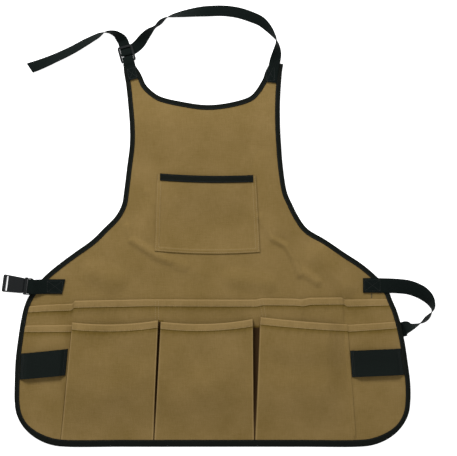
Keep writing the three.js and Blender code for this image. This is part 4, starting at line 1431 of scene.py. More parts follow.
@dataclass
class UpperPocket(SubAssembly):
    """The wide upper pocket: its mouth is turned under and a little open between the seams.

    Its middle part stands a step higher than its sides, and has one tuck.
    """

    area: float = 0.159
    opening: float = 2.2 * MM
    step: float = 1.9 * MM
    step_sides: tuple[float, float] = (-0.704, 0.664)
    tuck: float = 1.3 * MM
    tuck_at: float = 0.45
    pucker: float = 0.35 * MM
    pucker_pitch: float = 13 * MM
    rows_apart: float = 2.6 * MM

    def __post_init__(self) -> None:
        """Works out the mouth's ends and the boundary lines."""
        apron, edge = self.apron, self.edge
        levels = apron.upper_mouth(np.array((apron.x(-1.0), apron.x(1.0))))
        shares = edge.at_height(levels[0], False), edge.at_height(levels[1], True)
        self.ends = edge.at(shares[0], EDGE_INSET), edge.at(shares[1], EDGE_INSET)
        self.depth = apron.upper_height
        left, right = apron.left_corner, apron.right_corner
        self.patch = Patch(
            edge.inset_line(left, shares[0]), edge.inset_line(right, shares[1]),
            edge.inset_line(left, right), self.top,
        )

    def top(self, u: np.ndarray) -> np.ndarray:
        """The mouth, which eases to the binding at both ends.

        Args:
            u: shares from left to right.

        Returns:
            Places in the plane.
        """
        line = self.ends[0] + (self.ends[1] - self.ends[0]) * u[..., None]
        eased = np.minimum(1, np.minimum(u, 1 - u) * 20)
        line[..., 1] += (self.apron.upper_mouth(line[..., 0]) - line[..., 1]) * eased
        return line

    def below(self, u: np.ndarray, v: np.ndarray) -> np.ndarray:
        """Distance below the mouth."""
        return (1 - v) * self.depth + 0 * u

    def rise(self, u: np.ndarray, v: np.ndarray) -> np.ndarray:
        """How far the pocket stands off: the step, the open mouth, the tuck and the puckers.

        Args:
            u: shares across.
            v: shares up.

        Returns:
            Heights above the flat layer.
        """
        apron, below = self.apron, self.below(u, v)
        x = (self.patch.at(u, v)[..., 0] - apron.middle) / apron.half
        opened = np.zeros(x.shape)
        for first, last in zip(UPPER_SEAMS, UPPER_SEAMS[1:]):
            inside = (x > first) & (x < last)
            opened = np.where(inside, plateau((x - first) / (last - first), 0.3), opened)
        seams = sum(ridge(x - seam, 0.008) for seam in UPPER_SEAMS[1:3])
        wave = np.sin(u * 2 * apron.half / self.pucker_pitch * math.tau + 3 * np.sin(u * 31))
        near = ridge(below - PUCKERED, 7 * MM) * (1 - np.minimum(seams, 1))
        left, right = self.step_sides
        step = smooth((x - left) / 0.003) * smooth((right - x) / 0.004) * smooth(2 - below / (30 * MM))
        mouth = opened * smooth(1 - below / (30 * MM))
        tuck = ridge(x - self.tuck_at, 0.022) * smooth(2 - below / (22 * MM))
        return self.step * step + self.opening * mouth + self.tuck * tuck + self.pucker * (1 + wave) * near

    def extra(self, u: np.ndarray, v: np.ndarray) -> np.ndarray:
        """The turned mouth's extra thickness, which thins out under the binding."""
        side = np.minimum(u, 1 - u) * 2 * self.apron.half
        return hem_fold(self.below(u, v)) * smooth((side - 5 * MM) / (4 * MM))

    def tone(self, u: np.ndarray, v: np.ndarray) -> np.ndarray:
        """Painted light and shade on the mouth, and painted shade at the bottom of the folds between the
        front pockets.
        """
        return hem_painted_light(self.below(u, v)) + self.painted_fold_shade(self.patch.at(u, v))

    def painted_fold_shade(self, place: np.ndarray) -> np.ndarray:
        """Painted shade at the bottom of the two deep folds between the front pockets, where little light
        reaches.

        Args:
            place: places in the plane.

        Returns:
            Tones from 0 to -2.
        """
        apron = self.apron
        up = (place[..., 1] - apron.hem) / apron.pocket_mouth
        painted_shading = np.zeros(up.shape)
        for (left, right), top in zip(zip(FRONT_POCKETS, FRONT_POCKETS[1:]), (1.01, 0.965)):
            a = apron.x(left.foot[1] + (left.mouth[1] - left.foot[1]) * up) - 5 * MM
            b = apron.x(right.foot[0] + (right.mouth[0] - right.foot[0]) * up) + 5 * MM
            inside = smooth((place[..., 0] - a) / (3 * MM)) * smooth((b - place[..., 0]) / (3 * MM))
            painted_shading = np.maximum(painted_shading, inside * smooth((top - up) / 0.015))
        return -2 * painted_shading

    def make(self) -> None:
        """Makes the pocket, its hem's stitches and the two seams' double rows."""
        apron, depth, ends = self.apron, self.depth, self.ends
        cloth = Cloth(apron, self.patch, PANEL_TOP + GAP, self.rise, self.extra, tone=self.tone)
        columns = spans((0.142, 46), (0.152, 10), (0.828, 218), (0.836, 8), (1, 52))
        shape = cloth.shape(columns, spans((1 - HEM_FINE / depth, 50), (1, 24)))
        self.shop.canvas(shape, "upper_pocket", (668 / 672 * 2 * apron.half, depth), self.area)
        self.shop.hem_stitches(cloth, depth, (0.015, 0.985))
        for seam in UPPER_SEAMS[1:3]:
            for off in (-self.rows_apart, self.rows_apart):
                x = float(apron.x(seam)) + off
                u = np.full(60, (x - ends[0][0]) / (ends[1][0] - ends[0][0]))
                self.shop.canvas_thread.row(cloth.top(u, 1 - np.linspace(2, 60, 60) * MM / depth))


@dataclass
class FrontPocket(SubAssembly):
    """One front pocket: it stands open at its mouth and closes to its sides and foot."""

    plan: PocketPlan
    number: int
    steep: float = 0.9 * MM
    soft: float = 42 * MM
    least_open: float = 8 * MM
    more_open: float = 5 * MM
    pucker: float = 0.45 * MM
    pucker_pitch: float = 12 * MM
    swell: float = 1.2 * MM
    closed_foot: float = 10 * MM
    open_from: float = 105 * MM

    def __post_init__(self) -> None:
        """Works out the boundary lines and the sizes."""
        apron, edge, plan = self.apron, self.edge, self.plan
        heights = [apron.hem + rise * apron.pocket_mouth for rise in plan.rises]
        shares = [edge.near(float(apron.x(share)), apron.hem) for share in plan.foot]
        feet = [edge.at(share, EDGE_INSET) for share in shares]
        ends = (apron.x(plan.mouth[0]), heights[0]), (apron.x(plan.mouth[1]), heights[2])
        sag = (heights[0] + heights[2]) / 2 - heights[1]
        self.patch = Patch(
            straight(feet[0], ends[0]), straight(feet[1], ends[1]),
            edge.inset_line(*shares), straight(*ends, sag),
        )
        self.depth = heights[1] - apron.hem
        self.width = float(ends[1][0] - ends[0][0])
        self.foot_width = float(feet[1][0] - feet[0][0])

    def rise(self, u: np.ndarray, v: np.ndarray) -> np.ndarray:
        """How far the pocket stands off: its open mouth, its lap, its swells and its puckers.

        Args:
            u: shares across.
            v: shares up.

        Returns:
            Heights above the flat layer.
        """
        width, up, below = self.width, v * self.depth, (1 - v) * self.depth
        crown = 0.86 + 0.14 * np.sin(math.pi * u)
        foot = smooth((up - self.closed_foot) / self.open_from)
        far_side = self.soft if self.plan.laps else self.steep
        sides = smooth(u * width / self.steep) * smooth((1 - u) * width / far_side)
        opened = (self.least_open + self.more_open * v) * crown * foot * sides
        swell = ripple(self.patch.at(u, v), 80 * MM, 21 + self.number) * foot * plateau(u, 0.12)
        wave = np.sin(u * width / self.pucker_pitch * math.tau + self.number + 2.5 * np.sin(u * 9))
        near = ridge(below - PUCKERED, 6.5 * MM) * plateau(u, 0.08)
        height = opened + self.swell * swell * smooth(below / HEM_BAND) + self.pucker * (1 + wave) * near
        if not self.plan.laps:
            return height
        lap = smooth((u - 1) * width / (3 * MM) + 2) * smooth((up - 12 * MM) / (6 * MM))
        return height + 1.1 * LAYER_STEP * lap

    def extra(self, u: np.ndarray, v: np.ndarray) -> np.ndarray:
        """The turned mouth's extra thickness."""
        return hem_fold((1 - v) * self.depth)

    def tone(self, u: np.ndarray, v: np.ndarray) -> np.ndarray:
        """Painted light and shade on the mouth, and painted highlights along the steep sides.

        Args:
            u: shares across.
            v: shares up.

        Returns:
            Tones.
        """
        # Painted highlight along each steep side, where the fold's edge catches the light; a lapping pocket
        # has it on its left side only.
        painted_shading = 0.55 * ridge(np.minimum(u, 1 - u) * self.width - 1.4 * MM, 1.0 * MM)
        if self.plan.laps:
            painted_shading = painted_shading * (u < 0.5)
        return hem_painted_light((1 - v) * self.depth) + painted_shading * smooth((1 - v) * self.depth / HEM_BAND)

    def make(self) -> None:
        """Makes the pocket and its hem's stitches. Its cut has a pleat at each side."""
        depth, pleats = self.depth, 2 * POCKET_PLEAT
        cloth = Cloth(self.apron, self.patch, UPPER_TOP + GAP, self.rise, self.extra, tone=self.tone)
        columns = spans((0.006, 4), (0.016, 3), (0.05, 6), (0.95, 66), (0.984, 6), (0.994, 3), (1, 4))
        shape = cloth.shape(columns, spans((1 - HEM_FINE / depth, 64), (1, 22)))
        area = ((self.foot_width + self.width) / 2 + pleats) * depth
        self.shop.canvas(shape, self.plan.node, (self.foot_width + pleats, depth), area)
        self.shop.hem_stitches(cloth, depth, (0.01, 0.99))


@dataclass
class SidePocket(SubAssembly):
    """The flat end of the front layer at one side, out to the binding."""

    side: int
    area: float
    pucker: float = 0.3 * MM
    least_cut: float = 95 * MM

    def __post_init__(self) -> None:
        """Works out the boundary lines and the sizes."""
        apron, edge, right = self.apron, self.edge, self.side > 0
        seam_mouth, seam_foot = self.seam(self.side)
        rises = [apron.hem + rise * apron.pocket_mouth for rise in SIDE_RISE[self.side]]
        outer_share = edge.at_height(rises[2] if right else rises[0], right)
        foot_share = edge.near(seam_foot, apron.hem)
        corner = apron.right_corner if right else apron.left_corner
        foot, outer = edge.at(foot_share, EDGE_INSET), edge.at(outer_share, EDGE_INSET)
        mouth = (seam_mouth, rises[0] if right else rises[2])
        inner_line, outer_line = straight(foot, mouth), edge.inset_line(corner, outer_share)
        self.patch = (
            Patch(inner_line, outer_line, edge.inset_line(foot_share, corner), straight(mouth, outer))
            if right
            else Patch(outer_line, inner_line, edge.inset_line(corner, foot_share), straight(outer, mouth))
        )
        self.depth = rises[1] - apron.hem
        self.width = abs(float(outer[0]) - seam_mouth)

    def rise(self, u: np.ndarray, v: np.ndarray) -> np.ndarray:
        """The puckers under the mouth.

        Args:
            u: shares across.
            v: shares up.

        Returns:
            Heights.
        """
        wave = np.sin(u * 52 + 2 * np.sin(u * 7))
        near = ridge((1 - v) * self.depth - PUCKERED, 6.5 * MM) * plateau(u, 0.1)
        return self.pucker * (1 + wave) * near

    def extra(self, u: np.ndarray, v: np.ndarray) -> np.ndarray:
        """The turned mouth's extra thickness, which thins out under the binding."""
        outside = (1 - u if self.side > 0 else u) * self.width
        return hem_fold((1 - v) * self.depth) * smooth((outside - 5 * MM) / (4 * MM))

    def tone(self, u: np.ndarray, v: np.ndarray) -> np.ndarray:
        """Painted light and shade on the mouth."""
        return hem_painted_light((1 - v) * self.depth)

    def make(self) -> None:
        """Makes the pocket and its hem's stitches."""
        depth, label = self.depth, "right" if self.side > 0 else "left"
        cloth = Cloth(self.apron, self.patch, UPPER_TOP + GAP, self.rise, self.extra, tone=self.tone)
        shape = cloth.shape(spans((1, 44)), spans((1 - HEM_FINE / depth, 56), (1, 22)))
        self.shop.canvas(shape, f"side_pocket_{label}", (max(self.width, self.least_cut), depth), self.area)
        self.shop.hem_stitches(cloth, depth, (0.03, 0.97))


@dataclass
class ElasticBand(SubAssembly):
    """An elastic tool band, bowed a little off its side pocket."""

    side: int
    slant: float
    middle: float
    width: float = 45 * MM
    length: float = 85 * MM
    thickness: float = 1.5 * MM
    bow: float = 5.2 * MM

    def inner(self, t: np.ndarray) -> np.ndarray:
        """The end sewn in the pocket's seam.

        Args:
            t: shares up the end.

        Returns:
            Places in the plane.
        """
        seam_mouth, seam_foot = self.seam(self.side)
        y = self.middle + (0.0 if self.side > 0 else self.slant) + (t - 0.5) * self.width
        x = seam_foot + (seam_mouth - seam_foot) * y / self.apron.pocket_mouth + self.side * 2 * MM
        return np.stack([x, self.apron.hem + y], axis=-1)

    def outer(self, t: np.ndarray) -> np.ndarray:
        """The end beside the binding.

        Args:
            t: shares up the end.

        Returns:
            Places in the plane.
        """
        y = self.middle + (self.slant if self.side > 0 else 0.0) + (np.ravel(t) - 0.5) * self.width
        shares = np.array([self.edge.at_height(self.apron.hem + value, self.side > 0) for value in y])
        return self.edge.at(shares, LEG + GAP).reshape(*np.shape(t), 2)

    def make(self) -> None:
        """Makes the band and two rows of stitches at each end."""
        label = "right" if self.side > 0 else "left"
        lines = (self.inner, self.outer) if self.side > 0 else (self.outer, self.inner)
        ends = [[line(np.array([t]))[0] for line in lines] for t in (0.0, 1.0)]
        rows = np.linspace(0, 1, 25)
        left, right = (through(rows, line(rows)) for line in lines)
        patch = Patch(left, right, straight(*ends[0]), straight(*ends[1]))
        cloth = Cloth(
            self.apron, patch, FRONT_TOP + GAP, lambda u, v: self.bow * plateau(u + 0 * v, 0.16),
            None, self.thickness,
        )
        across, upward = spans((1, 48)), spans((1, 24))
        shape = cloth.shape(across, upward)
        columns, rows_up = np.meshgrid(across, upward)
        strip = np.stack([rows_up.ravel() * self.width, columns.ravel() * self.length], axis=-1)
        shape.strips = [np.concatenate([strip, strip])]
        self.shop.finish(shape, f"elastic_{label}", "elastic", f"elastic_band_{label}")
        for u in (0.03, 0.06, 0.94, 0.97):
            self.shop.dark_thread.row(cloth.top(np.full(30, u), np.linspace(0.02, 0.98, 30)))


@dataclass
class ChestPocket(SubAssembly):
    """The chest pocket and the tape over its mouth. Lengths are at the apron's full height."""

    area: float = 0.0226
    cut: tuple[float, float] = (178 * MM, 131.5 * MM)
    width: float = 168 * MM
    depth: float = 131.5 * MM
    mouth_up: float = 463.5 / 650
    left_of_middle: float = 10 * MM
    flare: float = 0.026
    tilt: float = 3 * MM
    opening: float = 7 * MM
    band_length: float = 158 * MM
    band_leg: float = 12.2 * MM
    stitch_insets: tuple[float, float] = (1.8 * MM, 6.5 * MM)
    tape_insets: tuple[float, float] = (2.0 * MM, 10.2 * MM)

    def __post_init__(self) -> None:
        """Works out the boundary lines."""
        scale = self.apron.height / (650 * MM)
        self.band_end = (1 - self.band_length / self.width) / 2
        self.width, self.depth = self.width * scale, self.depth * scale
        across = self.apron.middle - self.left_of_middle * scale
        mouth_y, flare = float(self.apron.y(self.mouth_up)), self.flare * self.width
        left, right, foot = across - self.width / 2, across + self.width / 2, mouth_y - self.depth
        feet = (left - flare, foot + MM), (right + 1.5 * flare, foot - MM)
        mouths = (left, mouth_y), (right, mouth_y - self.tilt)
        self.mouth = straight(*mouths, 3 * MM)
        self.patch = Patch(
            straight(feet[0], mouths[0]), straight(feet[1], mouths[1]), straight(*feet, 4 * MM), self.mouth
        )

    def opened(self, u: np.ndarray, v: np.ndarray) -> np.ndarray:
        """How far the pocket stands open."""
        return self.opening * plateau(u, 0.3) * smooth((v - 0.3) / 0.7)

    def rise(self, u: np.ndarray, v: np.ndarray) -> np.ndarray:
        """The open mouth, and room for the tape's hidden leg."""
        held = np.minimum(1, np.minimum(u, 1 - u) / self.band_end)
        return self.opened(u, v) + (TAPE + GAP) * smooth(v / 0.8) * held

    def extra(self, u: np.ndarray, v: np.ndarray) -> np.ndarray:
        """The turned edges' extra thickness, with a groove under each row of stitches.

        Args:
            u: shares across.
            v: shares up.

        Returns:
            Thicknesses, which fade just under the tape.
        """
        near = np.minimum(np.minimum(u, 1 - u) * self.width, v * self.depth)
        turned = 0.6 * CANVAS * smooth((8 * MM - near) / MM)
        groove = sum(ridge(near - inset, 0.7 * MM) for inset in self.stitch_insets)
        return (turned - 0.3 * MM * groove) * smooth((0.88 - v) / 0.03)

    def make(self) -> None:
        """Makes the pocket, its double rows of stitches, its bar tacks and its tape."""
        width, depth, shop = self.width, self.depth, self.shop
        cloth = Cloth(self.apron, self.patch, PANEL_TOP + GAP, self.rise, self.extra)
        shape = cloth.shape(spans((0.06, 14), (0.94, 60), (1, 14)), spans((0.08, 12), (1, 60)))
        shop.canvas(shape, "chest_pocket", self.cut, self.area)
        for inset in self.stitch_insets:
            for u in (inset / width, 1 - inset / width):
                shop.canvas_thread.row(cloth.top(np.full(80, u), np.linspace(0.99, inset / depth, 80)))
            shares = np.linspace(inset / width, 1 - inset / width, 120)
            shop.canvas_thread.row(cloth.top(shares, np.full(120, inset / depth)))
        for u in (0.006, 0.994):
            shop.dark_thread.row(cloth.top(np.full(12, u), np.linspace(0.995, 0.92, 12)), BAR_TACK_PITCH)
        self.tape()

    def tape(self) -> None:
        """Makes the tape folded over the mouth, leaning back with the cloth, and its stitches."""
        apron, leg = self.apron, self.band_leg
        u = np.linspace(self.band_end, 1 - self.band_end, 90)
        place = self.mouth(u) + (0, TAPE + GAP)
        one = np.ones_like(u)
        lowest = 1 - 1.1 * leg / self.depth
        fall = (self.opened(u, one) - self.opened(u, one * lowest)) / ((1 - lowest) * self.depth)
        laid = 1.05 * apron.lift(place) + apron.ripples(place)
        base = apron.floor + PANEL_TOP + GAP + laid + self.opened(u, one) + 0.15 * MM
        height = BINDING_TOP
        turn = np.radians(np.linspace(-90, 90, 9))
        fold = np.column_stack([height / 2 * (1 - np.cos(turn)), height / 2 * (1 + np.sin(turn))])
        inner = height / 2 - TAPE
        hollow = np.column_stack([TAPE + inner * (1 - np.cos(turn)), height / 2 + inner * np.sin(turn)])
        upper_end = [(leg, height), (leg, height - TAPE)]
        section = np.concatenate([[(leg, 0)], fold, upper_end, hollow[::-1], [(leg, TAPE)]])
        points = np.stack(
            [
                place[:, None, 0] + 0 * section[None, :, 0],
                place[:, None, 1] - section[None, :, 0],
                base[:, None] + section[None, :, 1] - fall[:, None] * section[None, :, 0],
            ],
            axis=-1,
        )
        across = np.concatenate([[0.0], np.cumsum(np.linalg.norm(np.diff(section, axis=0), axis=1))])
        strip = np.stack(np.broadcast_arrays(across[None], (u * self.width)[:, None]), axis=-1)
        self.shop.finish(Shape.tube(points, strip), "chest_tape", "binding_tape", "chest_pocket_binding")
        for inset in self.tape_insets:
            line = np.column_stack([place[:, 0], place[:, 1] - inset, base + height - fall * inset])
            self.shop.dark_thread.row(line)


@dataclass
class Bindings(SubAssembly):
    """Tape folded round the outer edge and round the neckline."""

    stitch_inset: float = 1.6 * MM

    def make(self) -> None:
        """Makes both tapes. The outer one is thicker where the pockets end in it, and its leg is
        wider along the hem."""
        apron = self.apron
        shares = np.linspace(0, 1, 1000)
        place = self.edge.at(shares)
        layers = np.zeros(len(shares))
        for side, rises in SIDE_RISE.items():
            here = (place[:, 0] < apron.middle) == (side < 0)
            front = apron.hem + apron.pocket_mouth * max(rises)
            for mouth in (apron.upper_mouth(place[:, 0]), front):
                layers += here * smooth((mouth + 8 * MM - place[:, 1]) / (4 * MM))
        low = apron.hem + apron.corner[1] / 2 - place[:, 1]
        leg = LEG + (HEM_LEG - LEG) * smooth(low / (apron.corner[1] / 2))
        self.tape("outer_binding", "edge_binding", self.edge, shares, leg, layers)
        shares = np.linspace(0, 1, 260)
        self.tape("neck_binding", "neckline_binding", apron.neck, shares, np.full(260, LEG), np.zeros(260))

    def tape(
        self, name: str, node: str, curve: Edge, shares: np.ndarray, leg: np.ndarray, layers: np.ndarray
    ) -> None:
        """Makes one folded tape and the stitches near its inner side.

        Args:
            name: the piece's name.
            node: the CAD node that it replaces.
            curve: the edge that it covers.
            shares: shares of the edge's length.
            leg: the leg's width at each share.
            layers: how many layers of cloth lie in it over the panel, at each share.
        """
        self.shop.finish(edging(self.apron, curve, shares, leg, layers), name, "binding_tape", node)
        place = curve.at(shares, leg - self.stitch_inset)
        height = self.apron.floor + BINDING_TOP + layers * LAYER_STEP
        laid = self.apron.lift(place) + self.apron.ripples(place)
        self.shop.dark_thread.row(np.column_stack([place, height + laid]))


@dataclass
class NeckStrap(SubAssembly):
    """The neck strap, its tail, and the left shoulder's webbing, which meet at the ladder lock."""

    width: float = NECK_WIDTH
    rise: float = 100 * MM
    tail_reach: float = 164 * MM
    tail_cut: float = 0.27
    lock_turn: float = 15.5
    lock_above: float = 17.3 * MM
    lock_aside: float = 3.6 * MM
    lock_length: float = 28.5 * MM
    sewn: float = 45 * MM

    def make(self) -> None:
        """Makes the strap from the right shoulder to the ladder lock, and then the rest."""
        left, right = ((self.edge.at(end) + self.apron.neck.at(end)) / 2 for end in (0.0, 1.0))
        route = np.column_stack([
            left[0] + (right[0] - left[0]) * NECK_ROUTE[:, 0],
            left[1] + (right[1] - left[1]) * NECK_ROUTE[:, 0] + NECK_ROUTE[:, 1] * self.rise,
            NECK_ROUTE[:, 2] * ON_BINDING,
            NECK_ROUTE[:, 3],
        ])
        places, widths = laid_strap(self.apron, route, self.width)
        self.shop.finish(strap(places, widths, self.width), "neck_webbing", "webbing", "neck_strap")
        self.shop.box_stitches(route[0, :2] + (-1 * MM, 3 * MM), 92, 25 * MM, self.width - 5 * MM)
        self.shoulder(left)

    def shoulder(self, tip: np.ndarray) -> None:
        """Makes the webbing from the left shoulder round the ladder lock's lower bar.

        Args:
            tip: the middle of the shoulder's end.
        """
        turn, on, sewn = math.radians(self.lock_turn), ON_BINDING + WEBBING / 2, self.sewn
        across = np.array((math.cos(turn), math.sin(turn), 0.0))
        along = np.array((-math.sin(turn), math.cos(turn), 0.0))
        origin = np.array((tip[0] - self.lock_aside, tip[1] + self.lock_above, self.apron.floor))
        bar = Bar(origin, along, UPWARD)
        end = (self.lock_length - bar.width) / 2
        reach = -self.lock_above / math.cos(turn)
        knots = [
            bar.place(-sewn, on), bar.place(-sewn + 0.6 * (reach + sewn), on), bar.place(reach - 3 * MM, on),
            bar.place(-end - 3 * MM, bar.over), *bar.turn(-end, 1, 5 * MM)[::-1],
            bar.place(-end - 1.4 * MM, bar.under),
        ]
        places = centripetal(knots, 6)
        shape = strap(places, np.tile(across, (len(places), 1)), self.width)
        self.shop.finish(shape, "shoulder_webbing", "webbing", "shoulder_webbing_left")
        start = bar.place(2 * MM - sewn, 0)[:2]
        self.shop.box_stitches(start, self.lock_turn + 90, 17 * MM, self.width - 5 * MM)
        self.tail(bar, across, end)

    def tail(self, bar: Bar, across: np.ndarray, top: float) -> None:
        """Makes the tail: over the middle bar, under the top bar and away to its slanting end.

        Args:
            bar: the ladder lock's middle bar.
            across: the bar's long direction.
            top: how far the top bar is from the middle one.
        """
        half, width = bar.width / 2, self.width
        slot = (self.lock_length - 3 * bar.width) / 2
        threaded = centripetal([
            bar.place(2.5 * MM, bar.under), *bar.turn(0.0, -1), bar.place(half, bar.over - 0.2 * MM),
            bar.place(half + slot / 2, bar.over + (bar.under - bar.over) * 0.55),
            bar.place(top - half - 0.8 * MM, bar.under + 0.05 * MM), bar.place(top + half, bar.under),
        ], 5)
        away = bar.place(top, 0)[:2] + TAIL_ROUTE[:, :2] * (-self.tail_reach, self.tail_reach)
        steps = 10
        path = centripetal([bar.place(top + half, 0)[:2], *away], steps)[1:]
        row = np.arange(1, len(path) + 1) / steps
        turn = np.radians(np.interp(row, np.arange(len(away) + 1), [0.0, *TAIL_ROUTE[:, 2]]))
        tangent = directions(path)
        settled = smooth(row / (0.15 * len(away)))
        height = bar.under + (half_height(turn, width) - bar.under) * settled
        turned = np.column_stack([tangent[:, 1] * np.cos(turn), -tangent[:, 0] * np.cos(turn), np.sin(turn)])
        places = np.vstack([threaded, np.column_stack([path, self.apron.floor + height])])
        widths = np.vstack([np.tile(across, (len(threaded), 1)), turned])
        shape = strap(places, widths, width)
        outward = np.array((*tangent[-1], 0.0))
        low_side = np.array((-tangent[-1, 1], tangent[-1, 0], 0.0))
        offsets = shape.points[0] - places[-1]
        cut = smooth(offsets @ outward / CUT_FROM + 1)
        shift = self.tail_cut * (offsets @ low_side + width / 2) * cut
        shape.points[0] -= shift[:, None] * outward
        self.shop.finish(shape, "neck_webbing_tail", "webbing", "neck_strap_tail")


@dataclass
class WaistStraps(SubAssembly):
    """The webbing of the side release buckle at the left, and the loose strap at the right."""

    width: float = WAIST_WIDTH
    buckle_turn: float = 7.6
    buckle_lean: float = 4.78
    buckle_out: float = 3.25 * MM
    sewn: float = 49 * MM
    sewn_cut: float = 0.23
    loop_reach: float = 94 * MM
    loop_up: float = 2 * MM
    tack: tuple[float, float] = (0.8045, 0.4015)

    def make(self) -> None:
        """Makes both."""
        self.left()
        self.right()

    def left(self) -> None:
        """Makes the webbing sewn on the skirt, round the side release buckle's bar and back."""
        apron, edge = self.apron, self.edge
        height = apron.hem + WAIST_HEIGHT
        crossing = edge.at(edge.at_height(height, False))
        below = edge.at(edge.at_height(height - 15 * MM, False))
        turn, lean = math.radians(180 - self.buckle_turn), math.radians(self.buckle_lean)
        flat, way = math.cos(lean), np.array((math.cos(turn), math.sin(turn), 0.0))
        rest = apron.floor + ON_BINDING
        origin = np.array((below[0] + self.buckle_out, height, rest + 3.5 * MM * math.tan(lean)))
        bar = Bar(origin, way * flat - UPWARD * math.sin(lean), UPWARD * flat + way * math.sin(lean))
        sewn = crossing[0] + self.sewn
        end = np.array((sewn, height, rest + WEBBING / 2))
        knots = [
            *(end - (self.sewn * share, 0.0, 0.0) for share in (0.0, 0.35, 0.7)),
            bar.place(-3.6 * MM, bar.over),
            bar.place(-1.5 * MM, bar.over),
            *bar.turn(0.0, 1, 2.9 * MM)[::-1],
            bar.place(-1.6 * MM, bar.under),
        ]
        places = centripetal(knots, 6)
        share = smooth(np.arange(len(places)) / 6 - 2.0)[:, None]
        straight_up, tilted = np.array((0.0, 1.0, 0.0)), np.array((math.sin(turn), -math.cos(turn), 0.0))
        shape = strap(places, straight_up + (tilted - straight_up) * share, self.width)
        points = shape.points[0]
        cut = smooth((points[:, 0] - sewn) / CUT_FROM + 1)
        points[:, 0] += (self.sewn_cut * (points[:, 1] - height) - 1.2 * MM) * cut
        self.shop.finish(shape, "left_waist_webbing", "webbing", "waist_webbing_left")
        self.shop.box_stitches(np.array((sewn - 29 * MM, height)), 0, 26 * MM, self.width - 6 * MM)

    def right(self) -> None:
        """Makes the loose strap: sewn on, out in a turning loop, and back under the skirt. A bar
        tack holds the skirt below it."""
        apron, edge = self.apron, self.edge
        height = apron.hem + WAIST_HEIGHT
        crossing = edge.at(edge.at_height(height, True))
        route = np.column_stack([
            crossing[0] + WAIST_ROUTE[:, 0] * self.loop_reach,
            height + self.loop_up + WAIST_ROUTE[:, 1] * self.loop_reach,
            WAIST_ROUTE[:, 2] * ON_BINDING,
            WAIST_ROUTE[:, 3],
        ])
        run, end = apron.run_edge, apron.run_end
        hidden = np.array([run + (2 * MM, -0.6 * MM), run + (end - run) * 0.3, end])
        rows = np.vstack([route, np.pad(hidden, ((0, 0), (0, 2)))])
        places, widths = laid_strap(apron, rows, self.width)
        shape = strap(places, widths, self.width)
        self.shop.finish(shape, "right_waist_webbing", "webbing", "waist_strap_right")
        self.shop.box_stitches(route[0, :2] + (3 * MM, 0.0), 0, 26 * MM, self.width - 6 * MM)
        x, y = apron.place(*self.tack)
        on = apron.floor + PANEL_TOP + 0.2 * MM
        for offset in (-0.7 * MM, 0.0, 0.7 * MM):
            row = np.array([(x + offset, y, on), (x + offset, y - 8.5 * MM, on)])
            self.shop.dark_thread.row(row, BAR_TACK_PITCH)


@dataclass
class Hardware(SubAssembly):
    """The three moulded pieces keep their CAD shapes, with softened corners."""

    nodes: dict[str, bpy.types.Object]
    corner: float = 0.35 * MM

    def make(self) -> None:
        """Dresses the ladder lock and the two halves of the side release buckle."""
        for name in ("ladder_lock", "buckle_plug", "buckle_socket"):
            node = self.nodes[name]
            node.data.materials.clear()
            node.data.materials.append(self.shop.materials["buckle_plastic"])
            bevel = node.modifiers.new("soft corners", "BEVEL")
            bevel.width, bevel.segments, bevel.limit_method = self.corner, 2, "ANGLE"
            bevel.angle_limit = math.radians(50)
            log.info("%s of buckle_plastic", name)


@dataclass
class Stitching(SubAssembly):
    """Every stitch that the other sub-assemblies have sewn, as one piece of each thread."""

    def make(self) -> None:
        """Makes the pale stitches and the dark ones."""
        for name, thread, colour in (
            ("canvas_stitches", self.shop.canvas_thread, Colour.THREAD),
            ("dark_stitches", self.shop.dark_thread, Colour.WEBBING),
        ):
            made = thread.shape.make(name, SewingThread(f"{name} thread", colour).make())
            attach(made, "root")
            log.info("%s, %d vertices", name, len(made.data.vertices))


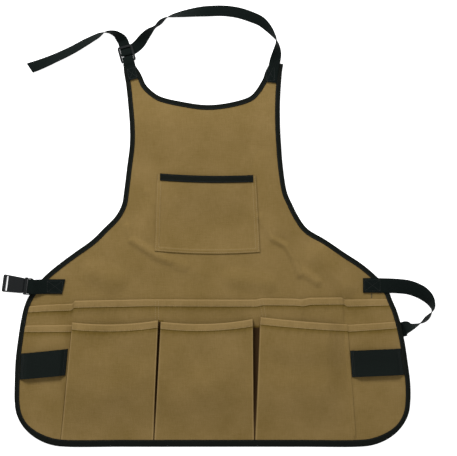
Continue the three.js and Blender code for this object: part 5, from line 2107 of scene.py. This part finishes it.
@dataclass
class Studio:
    """The white table, the light and the camera straight above. The photo's size and the middle
    of the skirt's hem are in its pixels, and the scale is the length of one."""

    apron: Apron
    photo: tuple[int, int] = (457, 456)
    scale: float = 1.70 * MM
    skirt: tuple[float, float] = (212.5, 446.5)
    lens: float = 150.0
    sensor: float = 36.0
    table_half: float = 4.0
    ambient: float = 0.45

    def make(self) -> None:
        """Sets the stage."""
        scene = bpy.context.scene
        scene.view_settings.view_transform = "Standard"
        scene.view_settings.look = "None"
        self.table()
        self.lights()
        self.camera()

    def table(self) -> None:
        """A wide white floor."""
        mesh = bpy.data.meshes.new("table")
        corners = [(x, y, 0) for x, y in ((-1, -1), (1, -1), (1, 1), (-1, 1))]
        mesh.from_pydata([Vector(corner) * self.table_half for corner in corners], [], [(0, 1, 2, 3)])
        mesh.materials.append(WhiteTable().make())
        table = bpy.data.objects.new("table", mesh)
        table.location.z = -0.15 * MM
        bpy.context.scene.collection.objects.link(table)

    def lights(self) -> None:
        """A broad even light, and a softer key from the upper left."""
        world = bpy.data.worlds.new("even light")
        bpy.context.scene.world = world
        world.use_nodes = True
        background = world.node_tree.nodes["Background"]
        background.inputs[0].default_value = (1.0, 1.0, 1.0, 1.0)
        background.inputs[1].default_value = self.ambient
        for name, place, size, power in (
            ("key light", (-0.7, 1.9, 1.7), 0.9, 75.0),
            ("fill light", (1.6, -0.4, 2.0), 1.6, 8.0),
        ):
            data = bpy.data.lights.new(name, "AREA")
            data.energy, data.size = power, size
            light = bpy.data.objects.new(name, data)
            light.location = place
            light.rotation_euler = (-Vector(place)).to_track_quat("-Z", "Y").to_euler()
            bpy.context.scene.collection.objects.link(light)

    def camera(self) -> None:
        """Straight above, as far away as makes the table's scale the photo's."""
        data = bpy.data.cameras.new("camera")
        data.lens, data.sensor_width, data.sensor_fit = self.lens, self.sensor, "HORIZONTAL"
        data.clip_start, data.clip_end = 0.05, 20.0
        data.dof.use_dof = False
        wide, high = self.photo
        x = self.apron.middle + (wide / 2 - self.skirt[0]) * self.scale
        y = self.apron.hem + (self.skirt[1] - high / 2) * self.scale
        camera = bpy.data.objects.new("camera", data)
        camera.location = (x, y, wide * self.scale * self.lens / self.sensor)
        bpy.context.scene.collection.objects.link(camera)
        bpy.context.scene.camera = camera


def main() -> None:
    """Builds the apron over its frame and lights it."""
    logging.basicConfig(level=logging.INFO)
    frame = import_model()
    shop = Workshop(Apron())
    for part in (
        BodyPanel(shop),
        UpperPocket(shop),
        *(FrontPocket(shop, plan, number) for number, plan in enumerate(FRONT_POCKETS)),
        SidePocket(shop, -1, 0.0155),
        SidePocket(shop, 1, 0.0178),
        ElasticBand(shop, -1, 7 * MM, 137 * MM),
        ElasticBand(shop, 1, 5 * MM, 141 * MM),
        ChestPocket(shop),
        Bindings(shop),
        NeckStrap(shop),
        WaistStraps(shop),
        Hardware(shop, frame["nodes"]),
        Stitching(shop),
    ):
        part.make()
    Studio(shop.apron).make()


if __name__ == "__main__":
    main()
